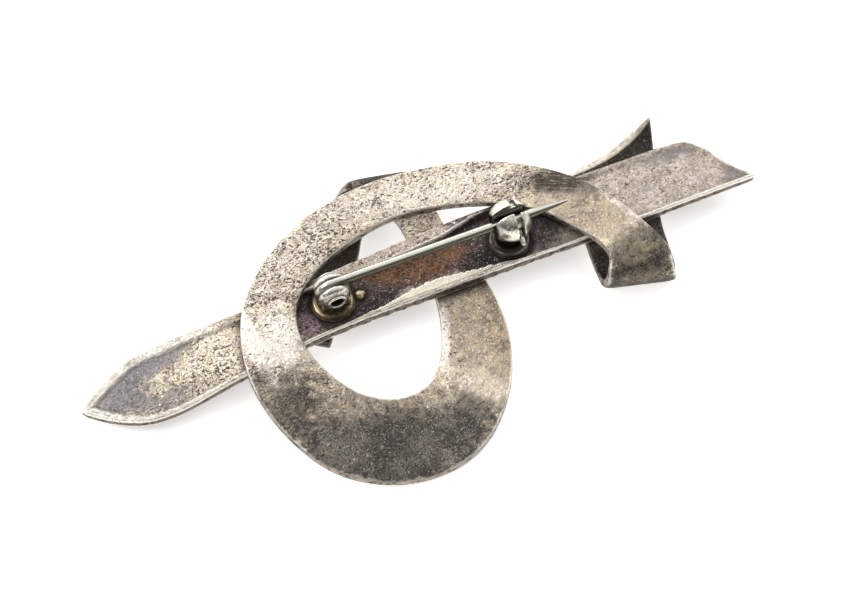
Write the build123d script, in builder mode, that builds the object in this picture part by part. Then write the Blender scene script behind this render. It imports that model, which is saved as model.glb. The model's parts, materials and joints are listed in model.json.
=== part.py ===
from build123d import *
import os
from math import atan2, cos, degrees, hypot, radians, sin, sqrt

os.makedirs("parts", exist_ok=True)

# The brooch lies on its front with its back up. X runs along the bar strip
# from its pointed end to its fishtail end, Y across it, Z out of its back.
# While it is built, Z is zero at the front face of the bar strip's middle.

# Bar strip, a shallow tray of sheet silver
bar_length = 72.5
bar_width = 7.0
bar_middle_y = 0.5        # middle of the bar's straight part
bar_depth = 1.8           # front face to the top of the turned-up rim
bar_sheet = 0.9           # floor of the tray
rim_width = 0.75
bend_start = -4.0         # where the pointed end starts to dip to the front
front_stand = 1.95        # how far the ribbon's front stands below the bar's

# Ribbon, one flat strip that ties round the bar
ribbon_width = 7.0
ribbon_sheet = 0.9
loop_width = 24.5         # outside, at the lower part of the loop
loop_height = 31.7
loop_centre_x = -6.0
loop_centre_y = -4.8
solder_seat = 0.1         # how far soldered faces run into each other

# Pin joint and stem
joint_x = -8.9
finding_y = 0.3           # the findings sit a little off the centre line
stem_wire = 0.9
stem_length = 25.3        # rivet axis to the tip
stem_taper = 3.6
stem_point = 0.15         # thickness that is left at the tip
eye_turn = 265.0          # how far the wire curls round the rivet
flange_diameter = 4.2
flange_height = 0.35
cheek_diameter = 3.45
cheek_foot = 2.75         # width of a cheek where it stands on the foot
cheek_sheet = 0.85
rivet_diameter = 1.7
rivet_bore = 1.24
rivet_lip = 0.2
turning_gap = 0.05        # each side of a part that turns
eye_gap = 0.2             # under the stem's eye

# Safety catch
catch_x = 10.15
catch_diameter = 4.4
catch_neck = 2.7
catch_end = 1.9           # flat end, from the middle of the catch towards the tip
groove_start = 0.18
groove_width = 0.66
groove_depth = 0.6
slot_drop = 1.65          # how far the lever's slot reaches below the stem's axis
mouth_width = 1.12
rotor_diameter = 2.3
rotor_length = 3.0
lever_reach = 2.8
lever_sheet = 0.75
lever_angle = 115.0       # from straight up towards the lower edge of the bar

# Small solder bead between joint and catch
bead_x = -6.05
bead_diameter = 0.95

half_length = bar_length / 2
half_width = bar_width / 2
bend_radius = ((half_length + bend_start) ** 2 + front_stand ** 2) / (2 * front_stand)


def bar_drop(x):
    # How far the bar's front face lies below its middle at this place
    past = max(bend_start - x, 0.0)
    return bend_radius - sqrt(bend_radius ** 2 - past ** 2)


def layer_height(level, x):
    # Middle of the ribbon's sheet. Level 1 lies on the bar's rim, -1 under
    # the bar's front face, and -2 is what the brooch rests on.
    half_sheet = ribbon_sheet / 2 - solder_seat
    back = bar_depth + half_sheet - bar_drop(x)
    front = -half_sheet - bar_drop(x)
    rest = -front_stand + ribbon_sheet / 2
    if level >= -1:
        return front + (back - front) * (level + 1) / 2
    return front + (front - rest) * (level + 1)


def ribbon_plane(centre, heading, turn, bank=0.0):
    # Cross-section plane of the ribbon: x_dir runs across the sheet, and
    # turn rolls the sheet about that line, from 0 with its back side up.
    side = Vector(
        cos(radians(heading)) * cos(radians(bank)),
        sin(radians(heading)) * cos(radians(bank)),
        sin(radians(bank)),
    )
    upright = Vector(
        -cos(radians(heading)) * sin(radians(bank)),
        -sin(radians(heading)) * sin(radians(bank)),
        cos(radians(bank)),
    )
    normal = upright.rotate(Axis((0, 0, 0), side), turn)
    return Plane(origin=centre, x_dir=side, z_dir=normal.cross(side))


# Bar outline, as shares of half the length and half the width
upper_edge = [
    (-1.000, -0.46),
    (-0.912, 0.11),
    (-0.830, 0.47),
    (-0.750, 0.56),
    (-0.500, 0.58),
    (-0.165, 0.80),
    (0.130, 1.00),
    (0.500, 1.03),
    (0.790, 1.04),
]
fishtail_edge = [
    (0.790, 1.04),
    (0.856, 0.96),
    (0.900, 0.54),
    (0.940, -0.13),
    (1.000, -0.86),
]
lower_edge = [
    (1.000, -0.86),
    (0.640, -0.93),
    (0.100, -0.98),
    (-0.360, -1.10),
    (-0.560, -1.36),
    (-0.780, -1.62),
    (-0.840, -1.57),
]
shoulder_edge = [
    (-0.840, -1.57),
    (-0.920, -1.13),
    (-1.000, -0.46),
]


def bar_edges(inset):
    # The four edges of the outline as lists of places, moved inwards by the
    # inset along the line that halves the corner at each place
    shares = []
    for edge in (upper_edge, fishtail_edge, lower_edge, shoulder_edge):
        shares += edge[:-1]
    corners = [
        Vector(along * half_length, bar_middle_y + across * half_width)
        for along, across in shares
    ]
    moved = []
    for number, corner in enumerate(corners):
        before = (corner - corners[number - 1]).normalized()
        after = (corners[(number + 1) % len(corners)] - corner).normalized()
        inward = Vector(before.Y + after.Y, -before.X - after.X).normalized()
        moved.append(corner + inward * (inset / inward.dot(Vector(before.Y, -before.X))))
    edges = []
    start = 0
    for edge in (upper_edge, fishtail_edge, lower_edge, shoulder_edge):
        end = start + len(edge)
        edges.append([moved[number % len(moved)] for number in range(start, end)])
        start = end - 1
    return edges


def bar_outline(inset=0.0):
    with BuildSketch() as outline:
        with BuildLine():
            for edge in bar_edges(inset):
                Spline(*edge)
        make_face()
    return outline.sketch


def side_profile(low, high):
    # Side view of a slab that dips towards the pointed end
    reach = half_length + rim_width
    middle = (bend_start - reach) / 2
    with BuildSketch() as profile:
        with BuildLine():
            low_arc = ThreePointArc(
                (bend_start, low),
                (middle, low - bar_drop(middle)),
                (-reach, low - bar_drop(-reach)),
            )
            high_arc = ThreePointArc(
                (bend_start, high),
                (middle, high - bar_drop(middle)),
                (-reach, high - bar_drop(-reach)),
            )
            Line(low_arc @ 1, high_arc @ 1)
            Polyline((bend_start, low), (reach, low), (reach, high), (bend_start, high))
        make_face()
    return profile.sketch


with BuildPart() as trough:
    with BuildSketch(Plane.XY.offset(-2 * front_stand)):
        add(bar_outline(rim_width))
    extrude(amount=4 * front_stand)
    with BuildSketch(Plane.XZ):
        add(side_profile(bar_sheet, 2 * bar_depth))
    extrude(amount=2 * bar_width, both=True, mode=Mode.INTERSECT)

with BuildPart() as bar_strip:
    with BuildSketch(Plane.XY.offset(-2 * front_stand)):
        add(bar_outline())
    extrude(amount=4 * front_stand)
    with BuildSketch(Plane.XZ):
        add(side_profile(0, bar_depth))
    extrude(amount=2 * bar_width, both=True, mode=Mode.INTERSECT)
    add(trough.part, mode=Mode.SUBTRACT)

# Lower fold of the ribbon and its tail, on the front of the bar. Places are
# shares of half the loop from its centre, widths shares of the ribbon's.
tail_rows = [
    # across, up, heading, width, level, bank
    (2.400, 0.725, 13.0, 1.63, -0.36, 9.0),
    (2.365, 0.590, 9.0, 1.52, -0.88, 0.0),
    (2.300, 0.370, 1.0, 1.32, -0.96, 0.0),
    (2.235, 0.130, -7.0, 1.16, -1.00, 0.0),
]
tail_notch_radius = 15.3
tail_notch_place = (2.195, 1.640)
lower_fold_place = (2.190, -0.115)
lower_fold_heading = -14.0
lower_fold_widths = (1.08, 1.03)
lower_fold_shift = 0.5

# The loop, from the lower fold over the bar's back, round the loop and
# under the bar's front, then the strap up to the upper fold, which is
# tucked under the loop's upper band
band_sag = 0.5
layer_pitch = (bar_depth + ribbon_sheet) / 2 - solder_seat
tucked_level = band_sag - (ribbon_sheet - solder_seat) / layer_pitch
loop_rows = [
    # across, up, heading, width, level, bank
    (2.125, 0.080, -4.0, 0.93, 1.00, 0.0),
    (2.030, 0.240, 10.0, 0.86, 1.00, 0.0),
    (1.840, 0.450, 24.0, 0.77, 1.00, 0.0),
    (1.540, 0.635, 36.0, 0.77, 0.88, 0.0),
    (1.240, 0.755, 51.0, 0.76, 0.66, 0.0),
    (0.850, 0.835, 68.0, 0.70, band_sag, 0.0),
    (0.490, 0.860, 85.0, 0.68, band_sag, 0.0),
    (0.060, 0.808, 107.0, 0.73, 0.66, 0.0),
    (-0.400, 0.650, 138.0, 0.75, 0.90, 0.0),
    (-0.760, 0.375, 168.0, 0.80, 1.00, 0.0),
    (-0.860, 0.030, 190.0, 0.93, 0.80, 0.0),
    (-0.755, -0.290, 212.0, 1.11, 0.15, 0.0),
    (-0.520, -0.550, 234.0, 1.27, -0.65, 0.0),
    (-0.155, -0.690, 258.0, 1.31, -1.40, 0.0),
    (0.270, -0.660, 284.0, 1.26, -1.96, 0.0),
    (0.590, -0.455, 311.0, 1.11, -1.90, 0.0),
    (0.760, -0.160, 332.0, 0.98, -1.30, 0.0),
    (0.795, 0.100, 352.0, 0.81, -1.00, 0.0),
]
under_bar = (0.780, 0.300, 361.0, 0.70, -1.00, 0.0)
strap_rows = [
    # across, up, heading, width, level, bank
    (0.752, 0.450, 362.0, 0.64, -1.00, 0.0),
    (0.723, 0.585, 361.0, 0.59, -0.82, 0.0),
    (0.698, 0.710, 358.0, 0.61, -0.38, 0.0),
    (0.655, 0.840, 353.0, 0.75, tucked_level, 0.0),
]
upper_fold_place = (0.630, 0.985)
upper_fold_heading = 348.5
upper_fold_widths = (0.88, 0.99)
upper_fold_shift = -3.0

# Short end that comes back from the upper fold across the bar's front
return_rows = [
    # across, up, heading, width, level, bank
    (0.125, 0.876, 334.0, 0.69, -1.72, 0.0),
    (-0.054, 0.695, 324.0, 0.75, -1.42, 0.0),
    (-0.300, 0.430, 321.0, 0.77, -1.00, 0.0),
    (-0.565, 0.165, 324.0, 0.75, -1.00, 0.0),
]


def ribbon_place(across, up):
    return (
        loop_centre_x + across * loop_width / 2,
        loop_centre_y + up * loop_height / 2,
    )


def flat_run(rows, face):
    # Sections of a run whose slope comes from its neighbours. Face is 1
    # where the sheet's back side is up and -1 where it is down.
    places = []
    for across, up, heading, width, level, bank in rows:
        x, y = ribbon_place(across, up)
        places.append((x, y, layer_height(level, x)))
    sections = []
    for number, row in enumerate(rows):
        before = places[max(number - 1, 0)]
        after = places[min(number + 1, len(rows) - 1)]
        run = hypot(after[0] - before[0], after[1] - before[1])
        slope = degrees(atan2(after[2] - before[2], run))
        turn = slope if face > 0 else 180 - slope
        plane = ribbon_plane(places[number], row[2], turn, row[5])
        sections.append((plane, row[3] * ribbon_width))
    return sections


def fold_run(place, heading, widths, shift, top, bottom, turns):
    # Half a turn about a line across the ribbon. The sheet moves along that
    # line by the shift and changes its width on the way.
    x, y = ribbon_place(*place)
    radius = (top - bottom) / 2
    sections = []
    for number, turn in enumerate(turns):
        progress = number / (len(turns) - 1)
        plane = ribbon_plane((x, y, (top + bottom) / 2), heading, turn)
        centre = (
            plane.origin
            + plane.y_dir * (-radius)
            + plane.x_dir * (shift * abs(turn) / 180)
        )
        section = Plane(origin=centre, x_dir=plane.x_dir, z_dir=plane.z_dir)
        width = widths[0] + (widths[1] - widths[0]) * progress
        sections.append((section, width * ribbon_width))
    return sections


rest_middle = -front_stand + ribbon_sheet / 2
lower_fold = fold_run(
    lower_fold_place, lower_fold_heading, lower_fold_widths, lower_fold_shift,
    layer_height(1, 0), rest_middle, [180, 144, 108, 72, 36, 0],
)
upper_fold = fold_run(
    upper_fold_place, upper_fold_heading, upper_fold_widths, upper_fold_shift,
    layer_height(tucked_level, 0), rest_middle, [0, -36, -72, -108, -144, -180],
)
band = flat_run(loop_rows + [under_bar] + strap_rows, 1)
split = len(loop_rows)
tail = flat_run(tail_rows, -1) + lower_fold[:1]
loop = lower_fold[-1:] + band[:split + 1]
strap = band[split:] + upper_fold[:1]
return_end = upper_fold[-1:] + flat_run(return_rows, -1)

with BuildPart() as ribbon_tail:
    for plane, width in tail:
        with BuildSketch(plane):
            Rectangle(width, ribbon_sheet)
    loft()
    with BuildSketch(Plane.XY.offset(-bar_width)):
        with Locations(ribbon_place(*tail_notch_place)):
            Circle(tail_notch_radius)
    extrude(amount=2 * bar_width, mode=Mode.SUBTRACT)

with BuildPart() as ribbon:
    for run in (lower_fold, loop, strap, upper_fold, return_end):
        for plane, width in run:
            with BuildSketch(plane):
                Rectangle(width, ribbon_sheet)
        loft()
    add(ribbon_tail.part)

# Pin joint: a round foot with two cheeks that hold the rivet
rivet_z = bar_sheet + flange_height + eye_gap + rivet_diameter / 2 + 2 * turning_gap + stem_wire
stem_z = rivet_z + rivet_diameter / 2 + 2 * turning_gap + stem_wire / 2
cheek_inside = stem_wire / 2 + turning_gap
cheek_outside = cheek_inside + cheek_sheet

with BuildPart() as pin_joint:
    with BuildSketch(Plane.XY.offset(bar_sheet - solder_seat)):
        with Locations((joint_x, finding_y)):
            Circle(flange_diameter / 2)
    extrude(amount=flange_height + solder_seat)
    for side in (-1, 1):
        with BuildSketch(Plane.XZ.offset(-finding_y - side * cheek_inside)):
            with Locations((joint_x, rivet_z)):
                Circle(cheek_diameter / 2)
            with Locations((joint_x, (rivet_z + bar_sheet) / 2)):
                Rectangle(cheek_foot, rivet_z - bar_sheet)
        extrude(amount=-side * cheek_sheet)
    with BuildSketch(Plane.XZ.offset(-finding_y)):
        with Locations((joint_x, rivet_z)):
            Circle(rivet_diameter / 2 + turning_gap / 2)
    extrude(amount=2 * cheek_outside, both=True, mode=Mode.SUBTRACT)

with BuildPart() as joint_rivet:
    with BuildSketch(Plane.XZ.offset(-finding_y)):
        with Locations((joint_x, rivet_z)):
            Circle(rivet_diameter / 2)
    extrude(amount=cheek_outside + turning_gap, both=True)
    for side in (-1, 1):
        with BuildSketch(Plane.XZ.offset(-finding_y - side * (cheek_outside + turning_gap / 2))):
            with Locations((joint_x, rivet_z)):
                Circle(rivet_diameter / 2 + rivet_lip)
        extrude(amount=-side * rivet_lip)
    with BuildSketch(Plane.XZ.offset(-finding_y)):
        with Locations((joint_x, rivet_z)):
            Circle(rivet_bore / 2)
    extrude(amount=2 * cheek_outside, both=True, mode=Mode.SUBTRACT)

# Pin stem: one wire, curled round the rivet at one end and pointed at the other
with BuildPart() as pin_stem:
    with BuildSketch(Plane.YZ.offset(joint_x)):
        with Locations((finding_y, stem_z)):
            Circle(stem_wire / 2)
    extrude(amount=stem_length - stem_taper)
    for along, thickness in ((stem_length - stem_taper, stem_wire), (stem_length, stem_point)):
        with BuildSketch(Plane.YZ.offset(joint_x + along)):
            with Locations((finding_y, stem_z)):
                Circle(thickness / 2)
    loft()
    with BuildSketch(Plane.YZ.offset(joint_x)):
        with Locations((finding_y, stem_z)):
            Circle(stem_wire / 2)
    revolve(axis=Axis((joint_x, finding_y, rivet_z), (0, -1, 0)), revolution_arc=eye_turn)

# Safety catch: a ball on a foot, bored for the stem, with a mouth at its
# top and a groove round it in which the rotor's lever swings
catch_radius = catch_diameter / 2
catch_bore = rotor_diameter / 2 + turning_gap

with BuildPart() as catch_body:
    with BuildSketch(Plane.XY.offset(bar_sheet - solder_seat)):
        with Locations((catch_x, finding_y)):
            Circle(flange_diameter / 2)
    extrude(amount=flange_height + solder_seat)
    with BuildSketch(Plane.XY.offset(bar_sheet)):
        with Locations((catch_x, finding_y)):
            Circle(catch_neck / 2)
    extrude(amount=stem_z - bar_sheet - catch_bore)
    with Locations((catch_x, finding_y, stem_z)):
        Sphere(catch_radius)
    with BuildSketch(Plane.YZ.offset(catch_x + groove_start)):
        with Locations((finding_y, stem_z)):
            Circle(catch_diameter)
            Circle(catch_radius - groove_depth, mode=Mode.SUBTRACT)
        Rectangle(4 * catch_diameter, 2 * (stem_z - slot_drop), mode=Mode.SUBTRACT)
    extrude(amount=groove_width, mode=Mode.SUBTRACT)
    with BuildSketch(Plane.YZ.offset(catch_x + catch_end)):
        with Locations((finding_y, stem_z)):
            Circle(catch_radius)
    extrude(amount=catch_radius, mode=Mode.SUBTRACT)
    with BuildSketch(Plane.YZ.offset(catch_x)):
        with Locations((finding_y, stem_z)):
            Circle(catch_bore)
        with Locations((finding_y, stem_z + catch_radius)):
            Rectangle(mouth_width, catch_diameter)
    extrude(amount=catch_diameter, both=True, mode=Mode.SUBTRACT)
    with BuildSketch(Plane.YZ.offset(catch_x + groove_start)):
        with Locations((finding_y, stem_z - slot_drop)):
            Rectangle(catch_radius, catch_diameter, align=(Align.MAX, Align.MIN))
    extrude(amount=groove_width, mode=Mode.SUBTRACT)

# Rotor: a sleeve with a mouth of its own and a lever. It is stored with the
# two mouths in line, so that the stem lifts out.
lever_direction = Vector(0, -sin(radians(lever_angle)), cos(radians(lever_angle)))
lever_plane = Plane(
    origin=(catch_x + groove_start + turning_gap, finding_y, stem_z),
    x_dir=lever_direction,
    z_dir=(1, 0, 0),
)
with BuildPart() as catch_rotor:
    with BuildSketch(Plane.YZ.offset(catch_x)):
        with Locations((finding_y, stem_z)):
            Circle(rotor_diameter / 2)
    extrude(amount=rotor_length / 2, both=True)
    with BuildSketch(lever_plane):
        Rectangle(lever_reach, lever_sheet, align=(Align.MIN, Align.CENTER))
    extrude(amount=groove_width - 2 * turning_gap)
    with BuildSketch(Plane.YZ.offset(catch_x)):
        with Locations((finding_y, stem_z)):
            Circle(mouth_width / 2)
        with Locations((finding_y, stem_z + rotor_diameter / 2)):
            Rectangle(mouth_width, rotor_diameter)
    extrude(amount=rotor_length, both=True, mode=Mode.SUBTRACT)

# Everything that is soldered is one piece of silver
with BuildPart() as silver_body:
    add(bar_strip.part)
    add(ribbon.part)
    add(pin_joint.part)
    add(catch_body.part)
    with Locations((bead_x, 0, bar_sheet - solder_seat)):
        Sphere(bead_diameter / 2, rotation=(0, 90, 0))

# The origin goes to the middle of the brooch's base
box = silver_body.part.bounding_box()
to_base = (-box.center().X, -box.center().Y, -box.min.Z)

with BuildPart() as ribbon_body:
    add(silver_body.part.translate(to_base))
with BuildPart() as rivet:
    add(joint_rivet.part.translate(to_base))
with BuildPart() as stem:
    add(pin_stem.part.translate(to_base))
with BuildPart() as rotor:
    add(catch_rotor.part.translate(to_base))

ribbon_body.part.label = "ribbon_body"
export_step(ribbon_body.part, "parts/ribbon_body.step")
rivet.part.label = "joint_rivet"
export_step(rivet.part, "parts/joint_rivet.step")
stem.part.label = "pin_stem"
export_step(stem.part, "parts/pin_stem.step")
rotor.part.label = "catch_rotor"
export_step(rotor.part, "parts/catch_rotor.step")
print("origin moved by", to_base)
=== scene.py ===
import json
import math
import bmesh
import bpy
import numpy as np
from mathutils import Matrix, Vector, noise
from mathutils.bvhtree import BVHTree


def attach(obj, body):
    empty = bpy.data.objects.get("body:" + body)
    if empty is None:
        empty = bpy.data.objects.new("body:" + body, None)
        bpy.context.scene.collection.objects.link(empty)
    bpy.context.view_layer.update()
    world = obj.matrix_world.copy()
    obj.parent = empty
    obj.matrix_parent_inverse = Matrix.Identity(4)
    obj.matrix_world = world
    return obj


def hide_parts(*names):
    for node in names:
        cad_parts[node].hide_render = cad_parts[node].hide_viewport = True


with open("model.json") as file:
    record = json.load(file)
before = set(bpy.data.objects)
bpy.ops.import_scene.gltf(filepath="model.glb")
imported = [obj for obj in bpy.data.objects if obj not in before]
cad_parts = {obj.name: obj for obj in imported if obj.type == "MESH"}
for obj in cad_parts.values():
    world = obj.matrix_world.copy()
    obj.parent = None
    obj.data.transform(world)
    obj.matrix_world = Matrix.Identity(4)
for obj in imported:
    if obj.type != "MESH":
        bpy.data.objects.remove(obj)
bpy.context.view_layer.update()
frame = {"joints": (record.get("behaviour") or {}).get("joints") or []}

mm = 0.001
scene = bpy.context.scene

# Shapes are worked out in millimetres round the middle of the bar, at its front face,
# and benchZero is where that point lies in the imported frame.
rivetOnBench = Vector((-8.9, 0.3, 3.3))
stemHinge = next(joint for joint in frame["joints"] if joint["name"] == "stem_hinge")
benchZero = Vector(stemHinge["pos_m"]) - rivetOnBench * mm


def addObject(name, data):
    thing = bpy.data.objects.new(name, data)
    scene.collection.objects.link(thing)
    return thing


def newMesh(name, points, faces=(), edges=()):
    mesh = bpy.data.meshes.new(name)
    mesh.from_pydata([tuple(point) for point in points], edges, faces)
    mesh.update()
    return addObject(name, mesh)


def newPath(name, points):
    return newMesh(name, points, edges=[(i, i + 1) for i in range(len(points) - 1)])


def readAll(items, name, width=3, kind=np.float32):
    data = np.empty(len(items) * width, kind)
    items.foreach_get(name, data)
    return data.reshape(-1, width) if width > 1 else data


def readPoints(piece):
    return readAll(piece.data.vertices, "co").astype(float)


def writePoints(piece, points):
    piece.data.vertices.foreach_set("co", points.astype(np.float32).ravel())
    piece.data.update()
    return piece


def fromBench(points):
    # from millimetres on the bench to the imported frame
    return np.asarray(points, float) * mm + np.array(benchZero)


def toFrame(piece):
    return writePoints(piece, fromBench(readPoints(piece)))


def toBench(piece):
    return (readPoints(piece) - np.array(benchZero)) / mm


def storeMark(piece, name, values, kind="FLOAT"):
    layers = piece.data.attributes
    layer = layers.get(name) or layers.new(name, kind, "POINT")
    field = "value" if kind == "FLOAT" else "vector"
    layer.data.foreach_set(field, np.ascontiguousarray(values, np.float32).ravel())


def bakeDown(piece):
    # modifiers become plain mesh
    graph = bpy.context.evaluated_depsgraph_get()
    graph.update()
    mesh = bpy.data.meshes.new_from_object(piece.evaluated_get(graph))
    mesh.name = piece.name
    piece.modifiers.clear()
    piece.data = mesh
    return piece


def rework(piece, change=None):
    # the mesh is changed, and its faces are turned outward
    work = bmesh.new()
    work.from_mesh(piece.data)
    if change:
        change(work)
    bmesh.ops.recalc_face_normals(work, faces=work.faces)
    work.to_mesh(piece.data)
    work.free()
    return piece


def cleanUp(piece, gap):
    def mergeClose(work):
        bmesh.ops.remove_doubles(work, verts=work.verts, dist=gap)
        bmesh.ops.dissolve_degenerate(work, edges=work.edges, dist=gap / 4)
    return rework(piece, mergeClose)


class Links:
    # a mesh's edges, for means over the points next to each point
    def __init__(self, mesh):
        self.count = len(mesh.vertices)
        self.a, self.b = readAll(mesh.edges, "vertices", 2, np.int32).T
        self.degree = (np.bincount(self.a, minlength=self.count)
                       + np.bincount(self.b, minlength=self.count))

    def edgeMean(self, forA, forB):
        total = np.bincount(self.a, forA, self.count) + np.bincount(self.b, forB, self.count)
        return total / self.degree

    def mean(self, values):
        if values.ndim == 1:
            return self.edgeMean(values[self.b], values[self.a])
        return np.column_stack([self.mean(column) for column in values.T])


def smoothThrough(knots, keys, at):
    # a curve through the keys, with each slope taken from its two neighbours
    knots, keys, at = np.asarray(knots, float), np.asarray(keys, float), np.asarray(at, float)
    step = np.diff(knots)
    pace = np.diff(keys, axis=0) / step[:, None]
    slope = np.empty_like(keys)
    slope[0], slope[-1] = pace[0], pace[-1]
    before, after = step[:-1, None], step[1:, None]
    slope[1:-1] = (pace[:-1] * after + pace[1:] * before) / (before + after)
    cell = np.clip(np.searchsorted(knots, at, side="right") - 1, 0, len(step) - 1)
    size = step[cell][:, None]
    t = ((at - knots[cell]) / step[cell])[:, None]
    return (
        (2 * t**3 - 3 * t**2 + 1) * keys[cell]
        + (t**3 - 2 * t**2 + t) * size * slope[cell]
        + (3 * t**2 - 2 * t**3) * keys[cell + 1]
        + (t**3 - t**2) * size * slope[cell + 1]
    )


def reachAlong(places):
    steps = np.linalg.norm(np.diff(places, axis=0), axis=1)
    return np.concatenate(([0], np.cumsum(steps)))


def ease(low, high, value):
    share = np.clip((value - low) / (high - low), 0, 1)
    return share * share * (3 - 2 * share)


def between(value, start, end, fade=0.06):
    return ease(start, start + fade, value) * (1 - ease(end, end + fade, value))


def hump(distance, size):
    return np.exp(-(distance / size) ** 2)


def roundOff(distance, radius):
    inside = np.clip(radius - distance, 0, radius)
    return radius - np.sqrt(radius**2 - inside**2)


print("frame loaded, bench zero at", tuple(round(v, 6) for v in benchZero))


# Camera, at the photo's angle
shot = {"look": (0.0, -2.2, 0.0), "azimuth": -22.0, "elevation": 62.0, "distance": 330.0,
        "focalPixels": 3300.0, "photoWidth": 850.0, "sensor": 36.0, "clipStart": 0.01}


def makeCamera():
    azimuth, elevation = math.radians(shot["azimuth"]), math.radians(shot["elevation"])
    back = Vector((math.sin(azimuth) * math.cos(elevation),
                   -math.cos(azimuth) * math.cos(elevation), math.sin(elevation)))
    data = bpy.data.cameras.new("photoCamera")
    data.sensor_width = shot["sensor"]
    data.lens = shot["sensor"] * shot["focalPixels"] / shot["photoWidth"]
    data.clip_start = shot["clipStart"]
    camera = addObject("photoCamera", data)
    camera.location = Vector(shot["look"]) * mm + benchZero + back * shot["distance"] * mm
    camera.rotation_euler = back.to_track_quat("Z", "Y").to_euler()
    scene.camera = camera


makeCamera()
print("camera placed")


# Bar strip: a shallow tray of sheet silver with a turned-up rim
bar = {"length": 72.5, "width": 7.0, "middle": 0.5, "depth": 1.8, "sheet": 0.9,
       "bendStart": -4.0, "frontStand": 1.95, "frontRound": 0.5, "rimRound": 0.22,
       "along": 430, "across": 76, "crowdingAlong": 0.35, "crowdingAcross": 0.7, "wallRows": 6,
       "ragged": 0.16, "raggedSize": 2.6, "cornerRub": 0.55, "cornerPull": 0.45,
       "lineAt": 0.36, "lineSize": 0.07, "lineDepth": 0.07, "lineLead": 0.08, "settle": 0.02,
       "troughSag": 0.05, "waves": (0.03, 0.02), "bandStart": 2.38, "bandEnd": 2.62,
       "bandShift": 0.02, "bandRise": (0.55, 0.85), "bandInside": (0.30, 0.42),
       "edgeShade": 0.4, "mergeGap": 0.002}

# outline, as shares of half the length and half the width
upperEdge = [(-1.000, -0.46), (-0.912, 0.11), (-0.830, 0.47), (-0.750, 0.56), (-0.500, 0.58),
             (-0.165, 0.80), (0.130, 1.00), (0.500, 1.03), (0.790, 1.04)]
fishtailEdge = [(0.790, 1.04), (0.856, 0.96), (0.900, 0.54), (0.940, -0.13), (1.000, -0.86)]
lowerEdge = [(1.000, -0.86), (0.640, -0.93), (0.100, -0.98), (-0.360, -1.10), (-0.560, -1.36),
             (-0.780, -1.62), (-0.840, -1.57)]
shoulderEdge = [(-0.840, -1.57), (-0.920, -1.13), (-1.000, -0.46)]

# rim, by its place round the outline: edge number and share along it, width of the crest,
# width of the slope down to the floor, and how far the crest stands below the full depth
rimRows = [
    (0.00, 0.55, 0.60, 0.20), (0.15, 0.75, 0.60, 0.20), (0.32, 0.60, 0.60, 0.15),
    (0.42, 0.80, 0.45, 0.05), (0.46, 1.15, 0.40, 0.00), (0.50, 1.25, 0.40, 0.00),
    (0.58, 1.25, 0.40, 0.00), (0.62, 1.15, 0.42, 0.00), (0.65, 0.75, 0.48, 0.00),
    (0.68, 0.35, 0.55, 0.00), (0.72, 0.25, 0.60, 0.02), (0.78, 0.22, 0.60, 0.08),
    (0.86, 0.20, 0.60, 0.15), (1.00, 0.18, 0.90, 0.20), (1.50, 0.16, 0.80, 0.22),
    (2.00, 0.14, 0.50, 0.18), (2.20, 0.20, 0.50, 0.12), (2.41, 0.40, 0.40, 0.00),
    (2.47, 0.95, 0.25, 0.00), (2.53, 1.40, 0.20, 0.00), (2.57, 1.05, 0.22, 0.00),
    (2.61, 0.50, 0.30, 0.00), (2.65, 0.26, 0.50, 0.00), (2.80, 0.28, 0.45, 0.12),
    (3.00, 0.35, 0.50, 0.20), (3.60, 0.50, 0.55, 0.20), (4.00, 0.55, 0.60, 0.20),
]
# the floor stands higher at the two ends than between the joint and the catch
floorRows = [(-40, 0.58), (-20, 0.54), (-15, 0.1), (-12, 0.0), (12, 0.0), (16, 0.08),
             (21, 0.54), (30, 0.58), (40, 0.58)]


def barDrop(x):
    # how far the pointed end dips to the front
    run, stand = bar["length"] / 2 + bar["bendStart"], bar["frontStand"]
    radius = (run**2 + stand**2) / (2 * stand)
    past = np.maximum(bar["bendStart"] - x, 0.0)
    return radius - np.sqrt(radius**2 - past**2)


def crowd(count, amount):
    # shares from 0 to 1 that stand closer together near both ends
    even = np.linspace(0, 1, count)
    return even * (1 - amount) + (0.5 - 0.5 * np.cos(np.pi * even)) * amount


def edgeCurve(shares, at):
    places = np.array(shares) * (bar["length"] / 2, bar["width"] / 2) + (0.0, bar["middle"])
    reach = reachAlong(places)
    return smoothThrough(reach, places, np.asarray(at) * reach[-1])


def barGrid():
    # four edges of the outline, blended into one patch of places
    along, across = crowd(bar["along"], bar["crowdingAlong"]), crowd(bar["across"], bar["crowdingAcross"])
    bottom, top = edgeCurve(lowerEdge[::-1], along), edgeCurve(upperEdge, along)
    left, right = edgeCurve(shoulderEdge, across), edgeCurve(fishtailEdge[::-1], across)
    u, v = along[:, None, None], across[None, :, None]
    sides = (1 - v) * bottom[:, None] + v * top[:, None] + (1 - u) * left[None] + u * right[None]
    corners = ((1 - u) * (1 - v) * bottom[0] + u * (1 - v) * bottom[-1]
               + (1 - u) * v * top[0] + u * v * top[-1])
    return sides - corners


def rimReach(places, count=400, batch=2000):
    # distance to the outline, and the nearest place round it
    share = np.linspace(0, 1, count, endpoint=False)
    edges = (upperEdge, fishtailEdge, lowerEdge, shoulderEdge)
    outline = np.concatenate([edgeCurve(edge, share) for edge in edges])
    station = np.concatenate([number + share for number in range(len(edges))])
    distance, nearest = np.empty(len(places)), np.empty(len(places))
    for start in range(0, len(places), batch):
        part = slice(start, start + batch)
        gaps = np.linalg.norm(places[part, None] - outline[None], axis=2)
        distance[part] = gaps.min(axis=1)
        nearest[part] = station[gaps.argmin(axis=1)]
    return distance, nearest


def turbulence(place):
    # about -1 to 1, in three octaves
    place = Vector(place)
    return noise.noise(place) + 0.5 * noise.noise(place * 2.1) + 0.25 * noise.noise(place * 4.3)


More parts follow.
